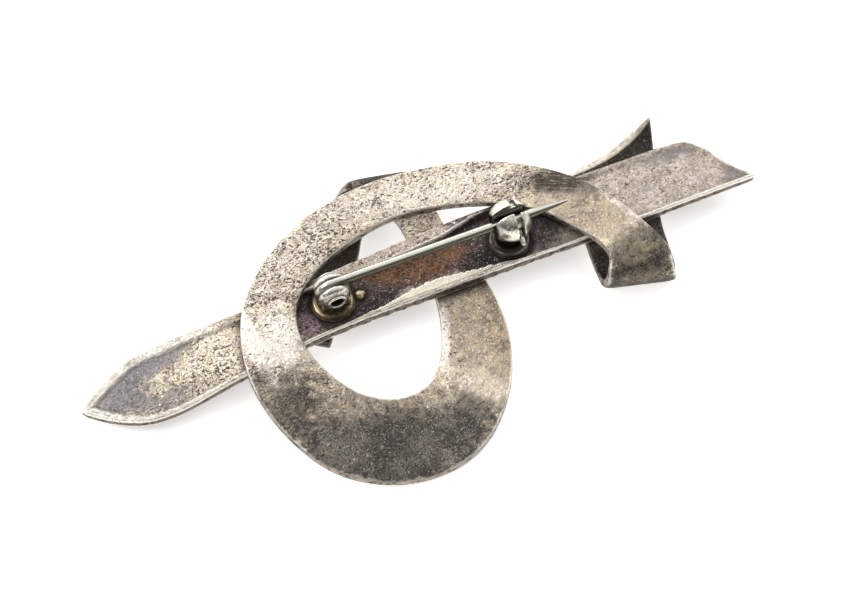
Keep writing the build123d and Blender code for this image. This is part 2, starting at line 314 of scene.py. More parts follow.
def rubCorners(grid, places):
    middle = np.array((0.0, bar["middle"]))
    for corner in (grid[0, 0], grid[0, -1], grid[-1, 0], grid[-1, -1]):
        inward = (middle - corner) / np.linalg.norm(middle - corner)
        near = hump(np.linalg.norm(places - corner, axis=1), bar["cornerRub"])
        places = places + inward * bar["cornerPull"] * bar["cornerRub"] * near[:, None]
    return places


def shellFaces(index, ring, wallLoops):
    # quads of the two faces of a sheet, and of the wall between them
    rows, columns = index.shape
    faces = []
    for i in range(rows - 1):
        for j in range(columns - 1):
            quad = (index[i, j], index[i + 1, j], index[i + 1, j + 1], index[i, j + 1])
            faces.append(quad)
            faces.append(tuple(corner + rows * columns for corner in reversed(quad)))
    for low, high in zip(wallLoops[:-1], wallLoops[1:]):
        for k in range(len(ring)):
            n = (k + 1) % len(ring)
            faces.append((low[k], low[n], high[n], high[k]))
    return faces


def makeBarStrip():
    grid = barGrid()
    rows, columns = grid.shape[:2]
    count = rows * columns
    places = grid.reshape(-1, 2)
    distance, nearest = rimReach(places)
    edgeOn = np.zeros((rows, columns), bool)
    edgeOn[[0, -1], :] = edgeOn[:, [0, -1]] = True
    distance[edgeOn.ravel()] = 0
    table = np.array(rimRows)
    crest, slope, lower = smoothThrough(table[:, 0], table[:, 1:], nearest).T
    places = rubCorners(grid, places)
    x, y = places.T
    size, bandStart, bandEnd = bar["raggedSize"], bar["bandStart"], bar["bandEnd"]
    torn = np.array([turbulence((px * size, py * size, 0.0)) for px, py in places]) * bar["ragged"]
    onBand = between(nearest, bandStart, bandEnd)
    rise = 1 - ease(0.0, 1.0, (distance + torn * onBand - crest) / slope)
    lifted = np.array(floorRows)
    floor = bar["sheet"] + np.interp(x, lifted[:, 0], lifted[:, 1])
    back = floor + (bar["depth"] - lower - floor) * rise - roundOff(distance, bar["rimRound"])
    # a fine line pressed in along the outer side of the lower rim
    onLine = between(nearest, bandStart - bar["lineLead"], bandEnd)
    back -= bar["lineDepth"] * (hump(distance - bar["lineAt"], bar["lineSize"]) * onLine)
    # low waves, as the hammer leaves them
    long, short = bar["waves"]
    back += long * np.sin(x * 0.55 + 0.8) * np.sin(y * 0.9) + short * np.sin(x * 1.3 + y * 1.1)
    back -= bar["settle"] + bar["troughSag"] * (1 - rise)
    drop = barDrop(x)
    topPoints = np.column_stack((x, y, back - drop))
    frontPoints = np.column_stack((x, y, roundOff(distance, bar["frontRound"]) - drop))

    index = np.arange(count).reshape(rows, columns)
    ring = np.concatenate((index[:, 0], index[-1, 1:], index[-2::-1, -1], index[0, -2:0:-1]))
    points, wallLoops = [topPoints, frontPoints], [ring + count]
    for step in range(1, bar["wallRows"]):
        share = step / bar["wallRows"]
        points.append(frontPoints[ring] * (1 - share) + topPoints[ring] * share)
        wallLoops.append(2 * count + np.arange(len(ring)) + (step - 1) * len(ring))
    wallLoops.append(ring)
    piece = newMesh("bar_strip", fromBench(np.concatenate(points)), shellFaces(index, ring, wallLoops))
    crestMark, bandMark, sideMark = np.zeros((3, len(piece.data.vertices)))
    crestMark[:count] = np.clip(rise, 0, 1)
    shift = bar["bandShift"]
    bandMark[:count] = (ease(*bar["bandRise"], rise) * ease(*bar["bandInside"], distance)
                        * between(nearest, bandStart + shift, bandEnd + shift))
    # the sheet's side wall and front, darkened later as painted shade
    sideMark[count:] = 1.0
    sideMark[index[:, [0, -1]].ravel()] = bar["edgeShade"]
    for name, mark in (("crest", crestMark), ("band", bandMark), ("side", sideMark)):
        storeMark(piece, name, mark)
    return cleanUp(piece, bar["mergeGap"] * mm)


# Ribbon: one flat strip tied round the bar, swept by Geometry Nodes
ribbon = {"width": 7.0, "sheet": 0.9, "seat": 0.1, "loopWidth": 24.5, "loopHeight": 31.7,
          "loopCentre": (-6.0, -4.8), "step": 0.21, "edgeRound": 0.22, "crown": 0.16,
          "notchDepth": 1.15, "notchReach": 5.0, "dent": 0.06, "dentSize": 4.5, "seed": 7,
          "creaseRow": 15, "creaseRise": 0.26, "creaseSize": 0.7, "bandSag": 0.5,
          "sectionPoints": 25, "sectionCrowding": 0.97, "cornerPoints": 5, "sewGap": 0.004,
          "hiddenFade": (0.8, 0.4), "cutFade": (0.30, 0.42), "lowest": 0.01}
layerPitch = (bar["depth"] + ribbon["sheet"]) / 2 - ribbon["seat"]
tuckedLevel = ribbon["bandSag"] - (ribbon["sheet"] - ribbon["seat"]) / layerPitch

# across and up from the loop's centre as shares of half the loop, heading of the line
# across the strip, its width as a share, the level of the sheet, bank
tailRows = [(2.400, 0.725, 13, 1.63, -0.36, 9), (2.365, 0.590, 9, 1.52, -0.88, 0),
            (2.300, 0.370, 1, 1.32, -0.96, 0), (2.235, 0.130, -7, 1.16, -1.00, 0)]
loopRows = [(2.163, 0.080, -4, 0.80, 1.00, 0), (2.048, 0.240, 10, 0.80, 1.00, 0),
            (1.840, 0.450, 24, 0.77, 1.00, 0), (1.540, 0.635, 36, 0.77, 0.88, 0),
            (1.240, 0.755, 51, 0.76, 0.66, 0), (0.850, 0.835, 68, 0.70, ribbon["bandSag"], 0),
            (0.490, 0.860, 85, 0.68, ribbon["bandSag"], 0), (0.060, 0.808, 107, 0.73, 0.66, 0),
            (-0.400, 0.650, 138, 0.75, 0.90, 0), (-0.760, 0.375, 168, 0.80, 1.00, 0),
            (-0.860, 0.030, 190, 0.93, 0.80, 0), (-0.755, -0.290, 212, 1.11, 0.15, 0),
            (-0.520, -0.550, 234, 1.27, -0.65, 0), (-0.155, -0.690, 258, 1.31, -1.40, 0),
            (0.270, -0.660, 284, 1.26, -1.96, 0), (0.590, -0.455, 311, 1.11, -1.90, 0),
            (0.760, -0.160, 332, 0.98, -1.30, 0), (0.795, 0.100, 352, 0.81, -1.00, 0),
            (0.780, 0.300, 361, 0.70, -1.00, 0), (0.752, 0.450, 362, 0.64, -1.00, 0),
            (0.723, 0.585, 361, 0.59, -0.82, 0), (0.698, 0.710, 358, 0.61, -0.38, 0),
            (0.655, 0.840, 353, 0.75, tuckedLevel, 0)]
returnRows = [(0.125, 0.876, 334, 0.69, -1.72, 0), (-0.054, 0.695, 324, 0.75, -1.42, 0),
              (-0.300, 0.430, 321, 0.77, -1.00, 0), (-0.565, 0.165, 324, 0.75, -1.00, 0)]
lowerFold = {"place": (2.190, -0.115), "heading": -14.0, "widths": (1.13, 0.88),
             "shifts": (0.50, 0.34), "turns": (180, 144, 108, 72, 36, 0), "top": 1.0}
upperFold = {"place": (0.630, 0.985), "heading": 348.5, "widths": (0.88, 0.99),
             "shifts": (0.0, -3.0), "turns": (0, -36, -72, -108, -144, -180), "top": tuckedLevel}


def layerHeight(level, x):
    # level is 1 on the bar's back, -1 under its front, and below -1 down to the table
    halfSheet = ribbon["sheet"] / 2 - ribbon["seat"]
    back = bar["depth"] + halfSheet - barDrop(x)
    front = -halfSheet - barDrop(x)
    rest = -bar["frontStand"] + ribbon["sheet"] / 2
    if level >= -1:
        return float(front + (back - front) * (level + 1) / 2)
    return float(front + (front - rest) * (level + 1))


def ribbonPlace(across, up):
    centreX, centreY = ribbon["loopCentre"]
    return centreX + across * ribbon["loopWidth"] / 2, centreY + up * ribbon["loopHeight"] / 2


def flatSections(rows, face):
    # place, heading, turn, bank and half width; the slope comes from the neighbours
    places = []
    for across, up, heading, width, level, bank in rows:
        x, y = ribbonPlace(across, up)
        places.append((x, y, layerHeight(level, x)))
    sections = []
    for number, (across, up, heading, width, level, bank) in enumerate(rows):
        before, after = places[max(number - 1, 0)], places[min(number + 1, len(rows) - 1)]
        run = math.hypot(after[0] - before[0], after[1] - before[1])
        slope = math.degrees(math.atan2(after[2] - before[2], run))
        turn = {"up": slope, "tail": 180 - slope, "return": -180 - slope}[face]
        sections.append((*places[number], heading, turn, bank, width * ribbon["width"] / 2))
    return sections


def foldSections(fold):
    x, y = ribbonPlace(*fold["place"])
    top = layerHeight(fold["top"], 0)
    bottom = -bar["frontStand"] + ribbon["sheet"] / 2
    heading = math.radians(fold["heading"])
    side = np.array((math.cos(heading), math.sin(heading), 0))
    (topShift, bottomShift), (firstWidth, lastWidth) = fold["shifts"], fold["widths"]
    sections = []
    for share, turn in zip(np.linspace(0, 1, len(fold["turns"])), fold["turns"]):
        lift = Matrix.Rotation(math.radians(turn), 3, Vector(side)) @ Vector((0, 0, 1))
        centre = np.array((x, y, (top + bottom) / 2)) + np.array(lift) * (top - bottom) / 2
        centre = centre + side * (topShift + (bottomShift - topShift) * abs(turn) / 180)
        width = firstWidth + (lastWidth - firstWidth) * share
        sections.append((*centre, fold["heading"], turn, 0, width * ribbon["width"] / 2))
    return sections


def ribbonSpine():
    # stations along the whole strip, from the notched tail to the short return end
    keys = np.array(flatSections(tailRows, "tail") + foldSections(lowerFold)
                    + flatSections(loopRows, "up") + foldSections(upperFold)
                    + flatSections(returnRows, "return"))
    reach = reachAlong(keys[:, :3])
    endRound = ribbon["edgeRound"]
    nearEnd = endRound * np.array((0.1, 0.3, 0.6))
    even = np.linspace(0, reach[-1], int(reach[-1] / ribbon["step"]))
    along = np.sort(np.concatenate((even, nearEnd, reach[-1] - nearEnd)))
    station = smoothThrough(reach, keys, along)
    heading, turn, bank = np.radians(station[:, 3:6]).T
    flat = np.array((np.cos(heading), np.sin(heading)))
    side = np.column_stack((*(flat * np.cos(bank)), np.sin(bank)))
    upright = np.column_stack((*(-flat * np.sin(bank)), np.cos(bank)))
    lift = upright * np.cos(turn)[:, None] + np.cross(side, upright) * np.sin(turn)[:, None]
    creaseAt = reach[len(tailRows) + len(lowerFold["turns"]) + ribbon["creaseRow"]]
    places = station[:, :3]
    places[:, 2] += ribbon["creaseRise"] * hump(along - creaseAt, ribbon["creaseSize"])
    spine = newPath("ribbon_strip", places)
    fromEnd = np.minimum(along, reach[-1] - along)
    storeMark(spine, "side", side, "FLOAT_VECTOR")
    storeMark(spine, "lift", lift, "FLOAT_VECTOR")
    storeMark(spine, "half", station[:, 6])
    storeMark(spine, "thick", ribbon["sheet"] / 2 - roundOff(fromEnd, endRound))
    # the strip is out of sight before the lower fold's middle and after the upper fold's start
    tailEnd = len(tailRows) + len(lowerFold["turns"]) // 2
    returnStart = len(keys) - len(returnRows) - len(upperFold["turns"])
    return spine, len(places), (reach[tailEnd], reach[returnStart])


def ribbonProfile():
    # one closed outline of the strip's section, in shares of half its width and thickness
    flat, corner = ribbon["sectionPoints"], ribbon["edgeRound"]
    halfWidth, halfSheet = ribbon["width"] / 2, ribbon["sheet"] / 2
    bow = np.pi / 2 * ribbon["sectionCrowding"]
    straight = (halfWidth - corner) / halfWidth * np.sin(np.linspace(-1, 1, flat) * bow) / math.sin(bow)
    quarter = np.radians(np.linspace(90, 0, ribbon["cornerPoints"]))[1:]
    bend = np.column_stack(((halfWidth - corner + corner * np.cos(quarter)) / halfWidth,
                            (halfSheet - corner + corner * np.sin(quarter)) / halfSheet))
    upper = np.column_stack((straight, np.ones(flat)))
    outline = np.concatenate((upper, bend, bend[::-1] * (1, -1), upper[::-1] * (1, -1),
                              bend * (-1, -1), bend[::-1] * (-1, 1)))
    return newMesh("ribbonProfile", [(a, b, 0) for a, b in outline]), len(outline)


class Nodes:
    # short ways to add, feed and join the nodes of one tree
    def __init__(self, tree):
        self.tree = tree

    def feed(self, socket, value):
        if isinstance(value, bpy.types.NodeSocket):
            self.tree.links.new(value, socket)
        else:
            socket.default_value = value

    def add(self, kind, settings=None, **feeds):
        node = self.tree.nodes.new(kind)
        for name, value in (settings or {}).items():
            setattr(node, name, value)
        for name, value in feeds.items():
            self.feed(node.inputs[name.replace("_", " ")], value)
        return node

    def math(self, operation, *values):
        node = self.add("ShaderNodeMath", {"operation": operation})
        for number, value in enumerate(values):
            self.feed(node.inputs[number], value)
        return node.outputs[0]

    def times(self, first, *others):
        for other in others:
            first = self.math("MULTIPLY", first, other)
        return first

    def without(self, mask, amount=1.0):
        return self.math("MULTIPLY_ADD", mask, -amount, 1.0)

    def vector(self, operation, *values, scale=None):
        node = self.add("ShaderNodeVectorMath", {"operation": operation})
        for number, value in enumerate(values):
            self.feed(node.inputs[number], value)
        if scale is not None:
            self.feed(node.inputs["Scale"], scale)
        return node.outputs["Value" if operation in ("LENGTH", "DOT_PRODUCT") else "Vector"]

    def noise(self, vector, scale, detail, rough=0.5, **more):
        return self.add("ShaderNodeTexNoise", None, Vector=vector, Scale=scale, Detail=detail,
                        Roughness=rough, **more).outputs[0]

    def step(self, value, low, high, start=0.0, end=1.0, curve="SMOOTHSTEP"):
        return self.add("ShaderNodeMapRange", {"interpolation_type": curve}, Value=value, From_Min=low,
                        From_Max=high, To_Min=start, To_Max=end).outputs[0]


class Group(Nodes):
    # a node group; an input is given by its kind, or by the number that it starts with
    def __init__(self, name, kind, inputs, output):
        super().__init__(bpy.data.node_groups.new(name, kind))
        for label, value in inputs.items():
            self.socket(label, value, "INPUT")
        self.socket(*output, "OUTPUT")
        self.given = self.add("NodeGroupInput").outputs
        self.result = self.add("NodeGroupOutput").inputs[0]

    def socket(self, label, value, way):
        kind = value if isinstance(value, str) else {int: "Int", float: "Float"}[type(value)]
        item = self.tree.interface.new_socket(label, in_out=way, socket_type="NodeSocket" + kind)
        if value != kind:
            item.default_value = value

    def end(self, socket):
        self.feed(self.result, socket)
        return self.tree

    def endSkin(self, geometry, gap):
        # sewn where it meets itself, made real, and given its material
        sewn = self.add("GeometryNodeMergeByDistance", Geometry=geometry, Distance=gap)
        whole = self.add("GeometryNodeRealizeInstances", Geometry=sewn.outputs[0])
        dressed = self.add("GeometryNodeSetMaterial", Geometry=whole.outputs[0],
                           Material=self.given["Material"])
        return self.end(dressed.outputs[0])


def ribbonTree():
    t = Group("ribbonSkin", "GeometryNodeTree",
              {"Geometry": "Geometry", "Profile": "Object", "Stations": 600, "Profile Points": 60,
               "Crown": 0.1, "Notch Depth": 1.0, "Notch Reach": 5.0, "Dent Depth": 0.05,
               "Dent Size": 5.0, "Seed": 0.0, "Material": "Material"}, ("Geometry", "Geometry"))
    given = t.given
    position = t.add("GeometryNodeInputPosition").outputs[0]
    spine = t.add("GeometryNodeMeshToCurve", Mesh=given["Geometry"]).outputs["Curve"]
    length = t.add("GeometryNodeCurveLength", Curve=spine).outputs["Length"]
    grid = t.add("GeometryNodeMeshGrid", None, Size_X=1.0, Size_Y=1.0, Vertices_X=given["Stations"],
                 Vertices_Y=t.math("ADD", given["Profile Points"], 1.0))
    place = t.add("ShaderNodeSeparateXYZ", Vector=position).outputs
    turn = t.times(t.math("ADD", place["Y"], 0.5), given["Profile Points"])
    slot = t.math("MODULO", t.math("ROUND", turn), given["Profile Points"])
    profile = t.add("GeometryNodeObjectInfo", Object=given["Profile"]).outputs["Geometry"]
    outline = t.add("GeometryNodeSampleIndex", {"data_type": "FLOAT_VECTOR", "domain": "POINT"},
                    Geometry=profile, Index=slot, Value=position)
    section = t.add("ShaderNodeSeparateXYZ", Vector=outline.outputs[0]).outputs
    across = section["X"]
    # the notch at the tail pushes the stations near it along the strip
    run = t.times(t.math("ADD", place["X"], 0.5), length)
    fade = t.math("MAXIMUM", t.math("SUBTRACT", 1.0, t.math("DIVIDE", run, given["Notch Reach"])), 0.0)
    bow = t.math("SUBTRACT", 1.0, t.times(across, across))
    along = t.math("ADD", run, t.times(bow, fade, given["Notch Depth"]))

    def alongSpine(name, kind):
        named = t.add("GeometryNodeInputNamedAttribute", {"data_type": kind}, Name=name)
        return t.add("GeometryNodeSampleCurve", {"mode": "LENGTH", "data_type": kind}, Curves=spine,
                     Length=along, Value=named.outputs["Attribute"]).outputs

    side = alongSpine("side", "FLOAT_VECTOR")
    lift = alongSpine("lift", "FLOAT_VECTOR")["Value"]
    half, thick = alongSpine("half", "FLOAT")["Value"], alongSpine("thick", "FLOAT")["Value"]
    sideways = t.vector("SCALE", side["Value"], scale=t.times(across, half))
    flat = t.vector("ADD", side["Position"], sideways)
    sag = t.times(t.math("POWER", t.math("ABSOLUTE", across), 7.0), given["Crown"])
    rise = t.math("SUBTRACT", t.times(section["Y"], thick), sag)
    dents = t.add("ShaderNodeTexNoise", {"noise_dimensions": "4D"}, Vector=flat, W=given["Seed"],
                  Scale=t.math("DIVIDE", 1.0, given["Dent Size"]), Detail=2.0)
    wave = t.times(t.math("SUBTRACT", dents.outputs[0], 0.5), t.times(given["Dent Depth"], 2.0))
    lifted = t.vector("SCALE", lift, scale=t.math("ADD", rise, wave))
    skin = grid.outputs["Mesh"]
    for name, value in (("across", across), ("along", run)):
        skin = t.add("GeometryNodeStoreNamedAttribute", {"data_type": "FLOAT", "domain": "POINT"},
                     Geometry=skin, Name=name, Value=value).outputs[0]
    moved = t.add("GeometryNodeSetPosition", Geometry=skin, Position=t.vector("ADD", flat, lifted))
    return t.endSkin(moved.outputs[0], ribbon["sewGap"])


def runNodes(piece, tree, values):
    # a modifier's inputs are set by socket identifier, before the piece is first evaluated
    modifier = piece.modifiers.new(tree.name, "NODES")
    modifier.node_group = tree
    for item in tree.interface.items_tree:
        if item.item_type == "SOCKET" and item.in_out == "INPUT" and item.name in values:
            modifier[item.identifier] = values[item.name]
    return bakeDown(piece)


def closeEnds(work):
    # the two open ends of the swept strip are filled with one fan each
    border = [edge for edge in work.edges if edge.is_boundary]
    filled = bmesh.ops.holes_fill(work, edges=border, sides=0)["faces"]
    bmesh.ops.poke(work, faces=filled)


def makeRibbonStrip():
    spine, stations, (tailEnd, returnStart) = ribbonSpine()
    profile, profilePoints = ribbonProfile()
    piece = runNodes(spine, ribbonTree(), {
        "Profile": profile, "Stations": stations, "Profile Points": profilePoints,
        "Crown": ribbon["crown"], "Notch Depth": ribbon["notchDepth"],
        "Notch Reach": ribbon["notchReach"], "Dent Depth": ribbon["dent"],
        "Dent Size": ribbon["dentSize"], "Seed": float(ribbon["seed"])})
    bpy.data.objects.remove(profile)
    rework(piece, closeEnds)
    along = readAll(piece.data.attributes["along"].data, "value", 1)
    # the parts out of sight are marked, to be painted in shade
    seen, unseen = ribbon["hiddenFade"]
    hidden = (1 - ease(tailEnd - seen, tailEnd + unseen, along)
              + ease(returnStart - unseen, returnStart + seen, along))
    storeMark(piece, "hidden", np.clip(hidden, 0, 1))
    storeMark(piece, "cut", 1 - ease(*ribbon["cutFade"], along))
    toFrame(piece)
    # the lowest dents would press under the table
    points = readPoints(piece)
    points[:, 2] = np.maximum(points[:, 2], ribbon["lowest"] * mm)
    return writePoints(piece, points)


# Findings: round parts turned from a profile, cut and melted together
def lathe(name, profile, centre, axis, segments=96):
    # profile is a list of (radius, height) along the axis, closed at its poles or on itself
    turnTo = Vector((0, 0, 1)).rotation_difference(Vector(axis).normalized()).to_matrix()
    points, rings, faces = [], [], []
    for radius, height in profile:
        ring = []
        for k in range(1 if radius < 1e-6 else segments):
            angle = 2 * math.pi * k / segments
            place = turnTo @ Vector((radius * math.cos(angle), radius * math.sin(angle), height))
            ring.append(len(points))
            points.append(place + Vector(centre))
        rings.append(ring)
    pairs = list(zip(rings[:-1], rings[1:]))
    if len(rings[0]) > 1 or len(rings[-1]) > 1:
        pairs.append((rings[-1], rings[0]))
    for low, high in pairs:
        for k in range(segments):
            n = (k + 1) % segments
            if len(low) == 1:
                faces.append((low[0], high[n], high[k]))
            elif len(high) == 1:
                faces.append((low[k], low[n], high[0]))
            else:
                faces.append((low[k], low[n], high[n], high[k]))
    return rework(newMesh(name, points, faces))


def rod(name, radius, reach, centre, axis, segments=96):
    return lathe(name, [(0, -reach), (radius, -reach), (radius, reach), (0, reach)], centre, axis, segments)


def slab(name, centre, size, turn=None):
    work = bmesh.new()
    bmesh.ops.create_cube(work, size=1.0)
    bmesh.ops.scale(work, vec=size, verts=work.verts)
    if turn is not None:
        bmesh.ops.transform(work, matrix=turn, verts=work.verts)
    bmesh.ops.translate(work, vec=centre, verts=work.verts)
    mesh = bpy.data.meshes.new(name)
    work.to_mesh(mesh)
    work.free()
    return addObject(name, mesh)


def combine(target, others, operation):
    for other in others:
        modifier = target.modifiers.new("join", "BOOLEAN")
        modifier.operation = operation
        modifier.solver = "EXACT"
        modifier.object = other
        bakeDown(target)
        bpy.data.objects.remove(other)


def meltTogether(piece, voxel, rounds, strength=0.5):
    # an even skin over the cut parts, softened like cast and hand-worked silver
    modifier = piece.modifiers.new("skin", "REMESH")
    modifier.mode = "VOXEL"
    modifier.voxel_size = voxel
    bakeDown(piece)
    links, points = Links(piece.data), readPoints(piece)
    for turn in range(rounds):
        for weight in (strength, -strength * 1.04):
            points += weight * (links.mean(points) - points)
    return toFrame(writePoints(piece, points))


def ballProfile(radius, steps):
    return [(radius * math.sin(math.pi * k / steps), -radius * math.cos(math.pi * k / steps))
            for k in range(steps + 1)]


seat = bar["sheet"] - 0.1        # the findings' feet run a little into the bar
# a low foot with a little solder drawn out round it: radius, and height over its seat
footRows = [(0, 0), (2.26, 0), (2.24, 0.12), (2.14, 0.20), (2.06, 0.32), (1.92, 0.43), (1.70, 0.48)]


def makeFoot(name, x, y, rows):
    profile = [(radius, seat + height) for radius, height in footRows] + rows
    return lathe(name, profile, (x, y, 0), (0, 0, 1))


# Pin joint: two domed cheeks on a foot; the dome's rows are shifts from its radius and inner face
joint = {"x": -8.9, "y": 0.3, "rivetHeight": 3.3, "cheekRadius": 1.72, "cheekFoot": 2.75,
         "cheekSheet": 0.85, "cheekInside": 0.5, "rootShare": 0.64, "rootSink": 0.05,
         "boreRadius": 0.875, "boreReach": 3, "voxel": 0.045, "soften": 5, "footTop": 0.5, "domeDip": 0.04,
         "dome": [(-0.14, 0), (-0.03, 0.06), (0, 0.16), (-0.02, 0.28), (-0.10, 0.44), (-0.24, 0.58),
                  (-0.42, 0.69), (-0.60, 0.76), (-0.78, 0.80)]}


def makePinJoint():
    centre = x, y, z = joint["x"], joint["y"], joint["rivetHeight"]
    inner, sheet, r = joint["cheekInside"], joint["cheekSheet"], joint["cheekRadius"]
    piece = makeFoot("pin_joint", x, y, [(0, seat + joint["footTop"])])
    dome = [(r + out, inner + up) for out, up in joint["dome"]]
    dome = [(0, inner)] + dome + [(0, inner + sheet - joint["domeDip"])]
    rootHeight = z - bar["sheet"] + joint["rootSink"]
    rootSheet = sheet * joint["rootShare"]
    parts = []
    for side in (-1, 1):
        parts.append(lathe("cheek", dome, centre, (0, side, 0)))
        low = bar["sheet"] + rootHeight / 2 - joint["rootSink"]
        parts.append(slab("root", (x, y + side * (inner + rootSheet / 2), low),
                          (joint["cheekFoot"], rootSheet, rootHeight)))
    combine(piece, parts, "UNION")
    combine(piece, [rod("drill", joint["boreRadius"], joint["boreReach"], centre, (0, 1, 0))], "DIFFERENCE")
    return meltTogether(piece, joint["voxel"], joint["soften"])


# Joint rivet: hollow, its ends spread over the cheeks; half of its section, which is mirrored
rivet = {"segments": 128,
         "half": [(0.62, 0.0), (0.62, 1.36), (0.65, 1.46), (0.74, 1.54), (0.86, 1.575), (0.99, 1.55),
                  (1.05, 1.48), (1.04, 1.41), (1.00, 1.385), (0.85, 1.38), (0.85, 0.0)]}


def makeJointRivet():
    half = rivet["half"]
    mirrored = [(radius, -height) for radius, height in half[::-1]][1:-1]
    centre = (joint["x"], joint["y"], joint["rivetHeight"])
    return toFrame(lathe("joint_rivet", half + mirrored, centre, (0, 1, 0), rivet["segments"]))


# Pin stem: one wire, curled round the rivet, swept by Geometry Nodes
stem = {"wire": 0.45, "length": 25.3, "taper": 3.6, "taperBow": 0.8, "point": 0.075, "height": 4.7,
        "eyeRadius": 1.4, "eyeTurn": 265, "eyePoints": 90, "step": 0.12, "sides": 24,
        "sewGap": 0.001, "mergeGap": 0.0005}


def stemTree():
    t = Group("wireSweep", "GeometryNodeTree",
              {"Geometry": "Geometry", "Sides": 16, "Material": "Material"}, ("Geometry", "Geometry"))
    path = t.add("GeometryNodeMeshToCurve", Mesh=t.given["Geometry"]).outputs[0]
    radius = t.add("GeometryNodeInputNamedAttribute", {"data_type": "FLOAT"}, Name="radius").outputs[0]
    ring = t.add("GeometryNodeCurvePrimitiveCircle", Radius=1.0, Resolution=t.given["Sides"])
    swept = t.add("GeometryNodeCurveToMesh", Curve=path, Profile_Curve=ring.outputs["Curve"],
                  Scale=radius, Fill_Caps=True)
    return t.endSkin(swept.outputs[0], stem["sewGap"])


def makePinStem():
    count = stem["eyePoints"]
    eye = np.radians(np.linspace(90 + stem["eyeTurn"], 90, count))
    curl = np.column_stack((joint["x"] + stem["eyeRadius"] * np.cos(eye), np.full(count, joint["y"]),
                            joint["rivetHeight"] + stem["eyeRadius"] * np.sin(eye)))
    run = np.append(np.arange(stem["step"], stem["length"] + 1e-6, stem["step"]), stem["length"])
    straight = np.column_stack((joint["x"] + run, np.full(len(run), joint["y"]),
                                np.full(len(run), stem["height"])))
    toTip = np.concatenate((np.full(count, stem["length"]), stem["length"] - run))
    tapered = np.clip(toTip / stem["taper"], 0, 1) ** stem["taperBow"]
    piece = newPath("pin_stem", np.concatenate((curl, straight)))
    storeMark(piece, "radius", stem["point"] + (stem["wire"] - stem["point"]) * tapered)
    runNodes(piece, stemTree(), {"Sides": stem["sides"]})
    return cleanUp(toFrame(piece), stem["mergeGap"] * mm)


# Catch housing: a slotted ball on a neck; the cutters' seams keep off the ball's by their
# segments and small shifts, so no two faces lie in one plane
catch = {"x": 10.15, "y": 0.3, "height": 4.7, "radius": 2.2, "end": 1.9, "bore": 1.2, "mouth": 1.0,
         "grooveStart": 0.18, "grooveWidth": 0.66, "grooveDepth": 0.6, "slotDrop": 1.65,
         "ballSegments": 128, "ballSteps": 40, "grooveSegments": 118, "boreSegments": 102, "capGap": 0.02,
         "keepShift": 0.009, "mouthShift": 0.017, "slotShift": 0.011, "slotSlack": 0.03,
         "voxel": 0.05, "soften": 8,
         "neck": [(1.45, seat + 0.62), (1.37, seat + 0.9), (1.35, seat + 1.1)],
         "neckRadius": 1.35, "neckTop": 3.2}


def makeCatchHousing():
    centre = x, y, z = catch["x"], catch["y"], catch["height"]
    r, end, along = catch["radius"], catch["end"], (1, 0, 0)
    start, wide, inner = catch["grooveStart"], catch["grooveWidth"], catch["radius"] - catch["grooveDepth"]
    piece = makeFoot("catch_housing", x, y, catch["neck"] + [(catch["neckRadius"], catch["neckTop"]),
                                                             (0, catch["neckTop"])])
    whole = [step for step in ballProfile(r, catch["ballSteps"]) if step[1] < end - catch["capGap"]]
    ball = lathe("ball", whole + [(math.sqrt(r**2 - end**2), end), (0, end)], centre, along,
                 catch["ballSegments"])
    combine(piece, [ball], "UNION")
    groove = lathe("groove", [(inner, start), (2 * r, start), (2 * r, start + wide), (inner, start + wide)],
                   centre, along, catch["grooveSegments"])
    keep = slab("keep", (x, y, z - catch["slotDrop"] - 2 * r + catch["keepShift"]), (6, 6 * r, 4 * r))
    combine(groove, [keep], "DIFFERENCE")
    bore = rod("bore", catch["bore"], 2 * r, centre, along, catch["boreSegments"])
    mouth = slab("mouth", (x, y, z + r - catch["mouthShift"]), (4 * r, catch["mouth"], 2 * r))
    slot = slab("slot", (x + start + wide / 2, y - r / 2 - catch["slotShift"], z - catch["slotDrop"] + r),
                (wide + catch["slotSlack"], r, 2 * r))
    combine(piece, [mouth, bore, groove, slot], "DIFFERENCE")
    return meltTogether(piece, catch["voxel"], catch["soften"])


# Catch rotor: a split sleeve with a lever; the paddle is turned round and then pressed flat
rotor = {"radius": 1.15, "half": 1.5, "mouth": 1.0, "bore": 0.53, "reach": 2.8, "sheet": 0.75,
         "angle": 115, "thick": 0.56, "sideGap": 0.05, "voxel": 0.035, "soften": 3,
         "rootWidth": 0.40, "rootLength": 2.2, "rootAt": 1.2, "rootSlack": 0.1,
         "paddleSegments": 48, "boreSegments": 64, "boreReach": 4, "mouthLength": 8,
         "paddle": [(0.45, 0.1), (0.5, 1.5), (0.62, 1.72), (0.92, 1.95), (1.0, 2.2), (0.97, 2.5),
                    (0.8, 2.69), (0.45, 2.79)]}


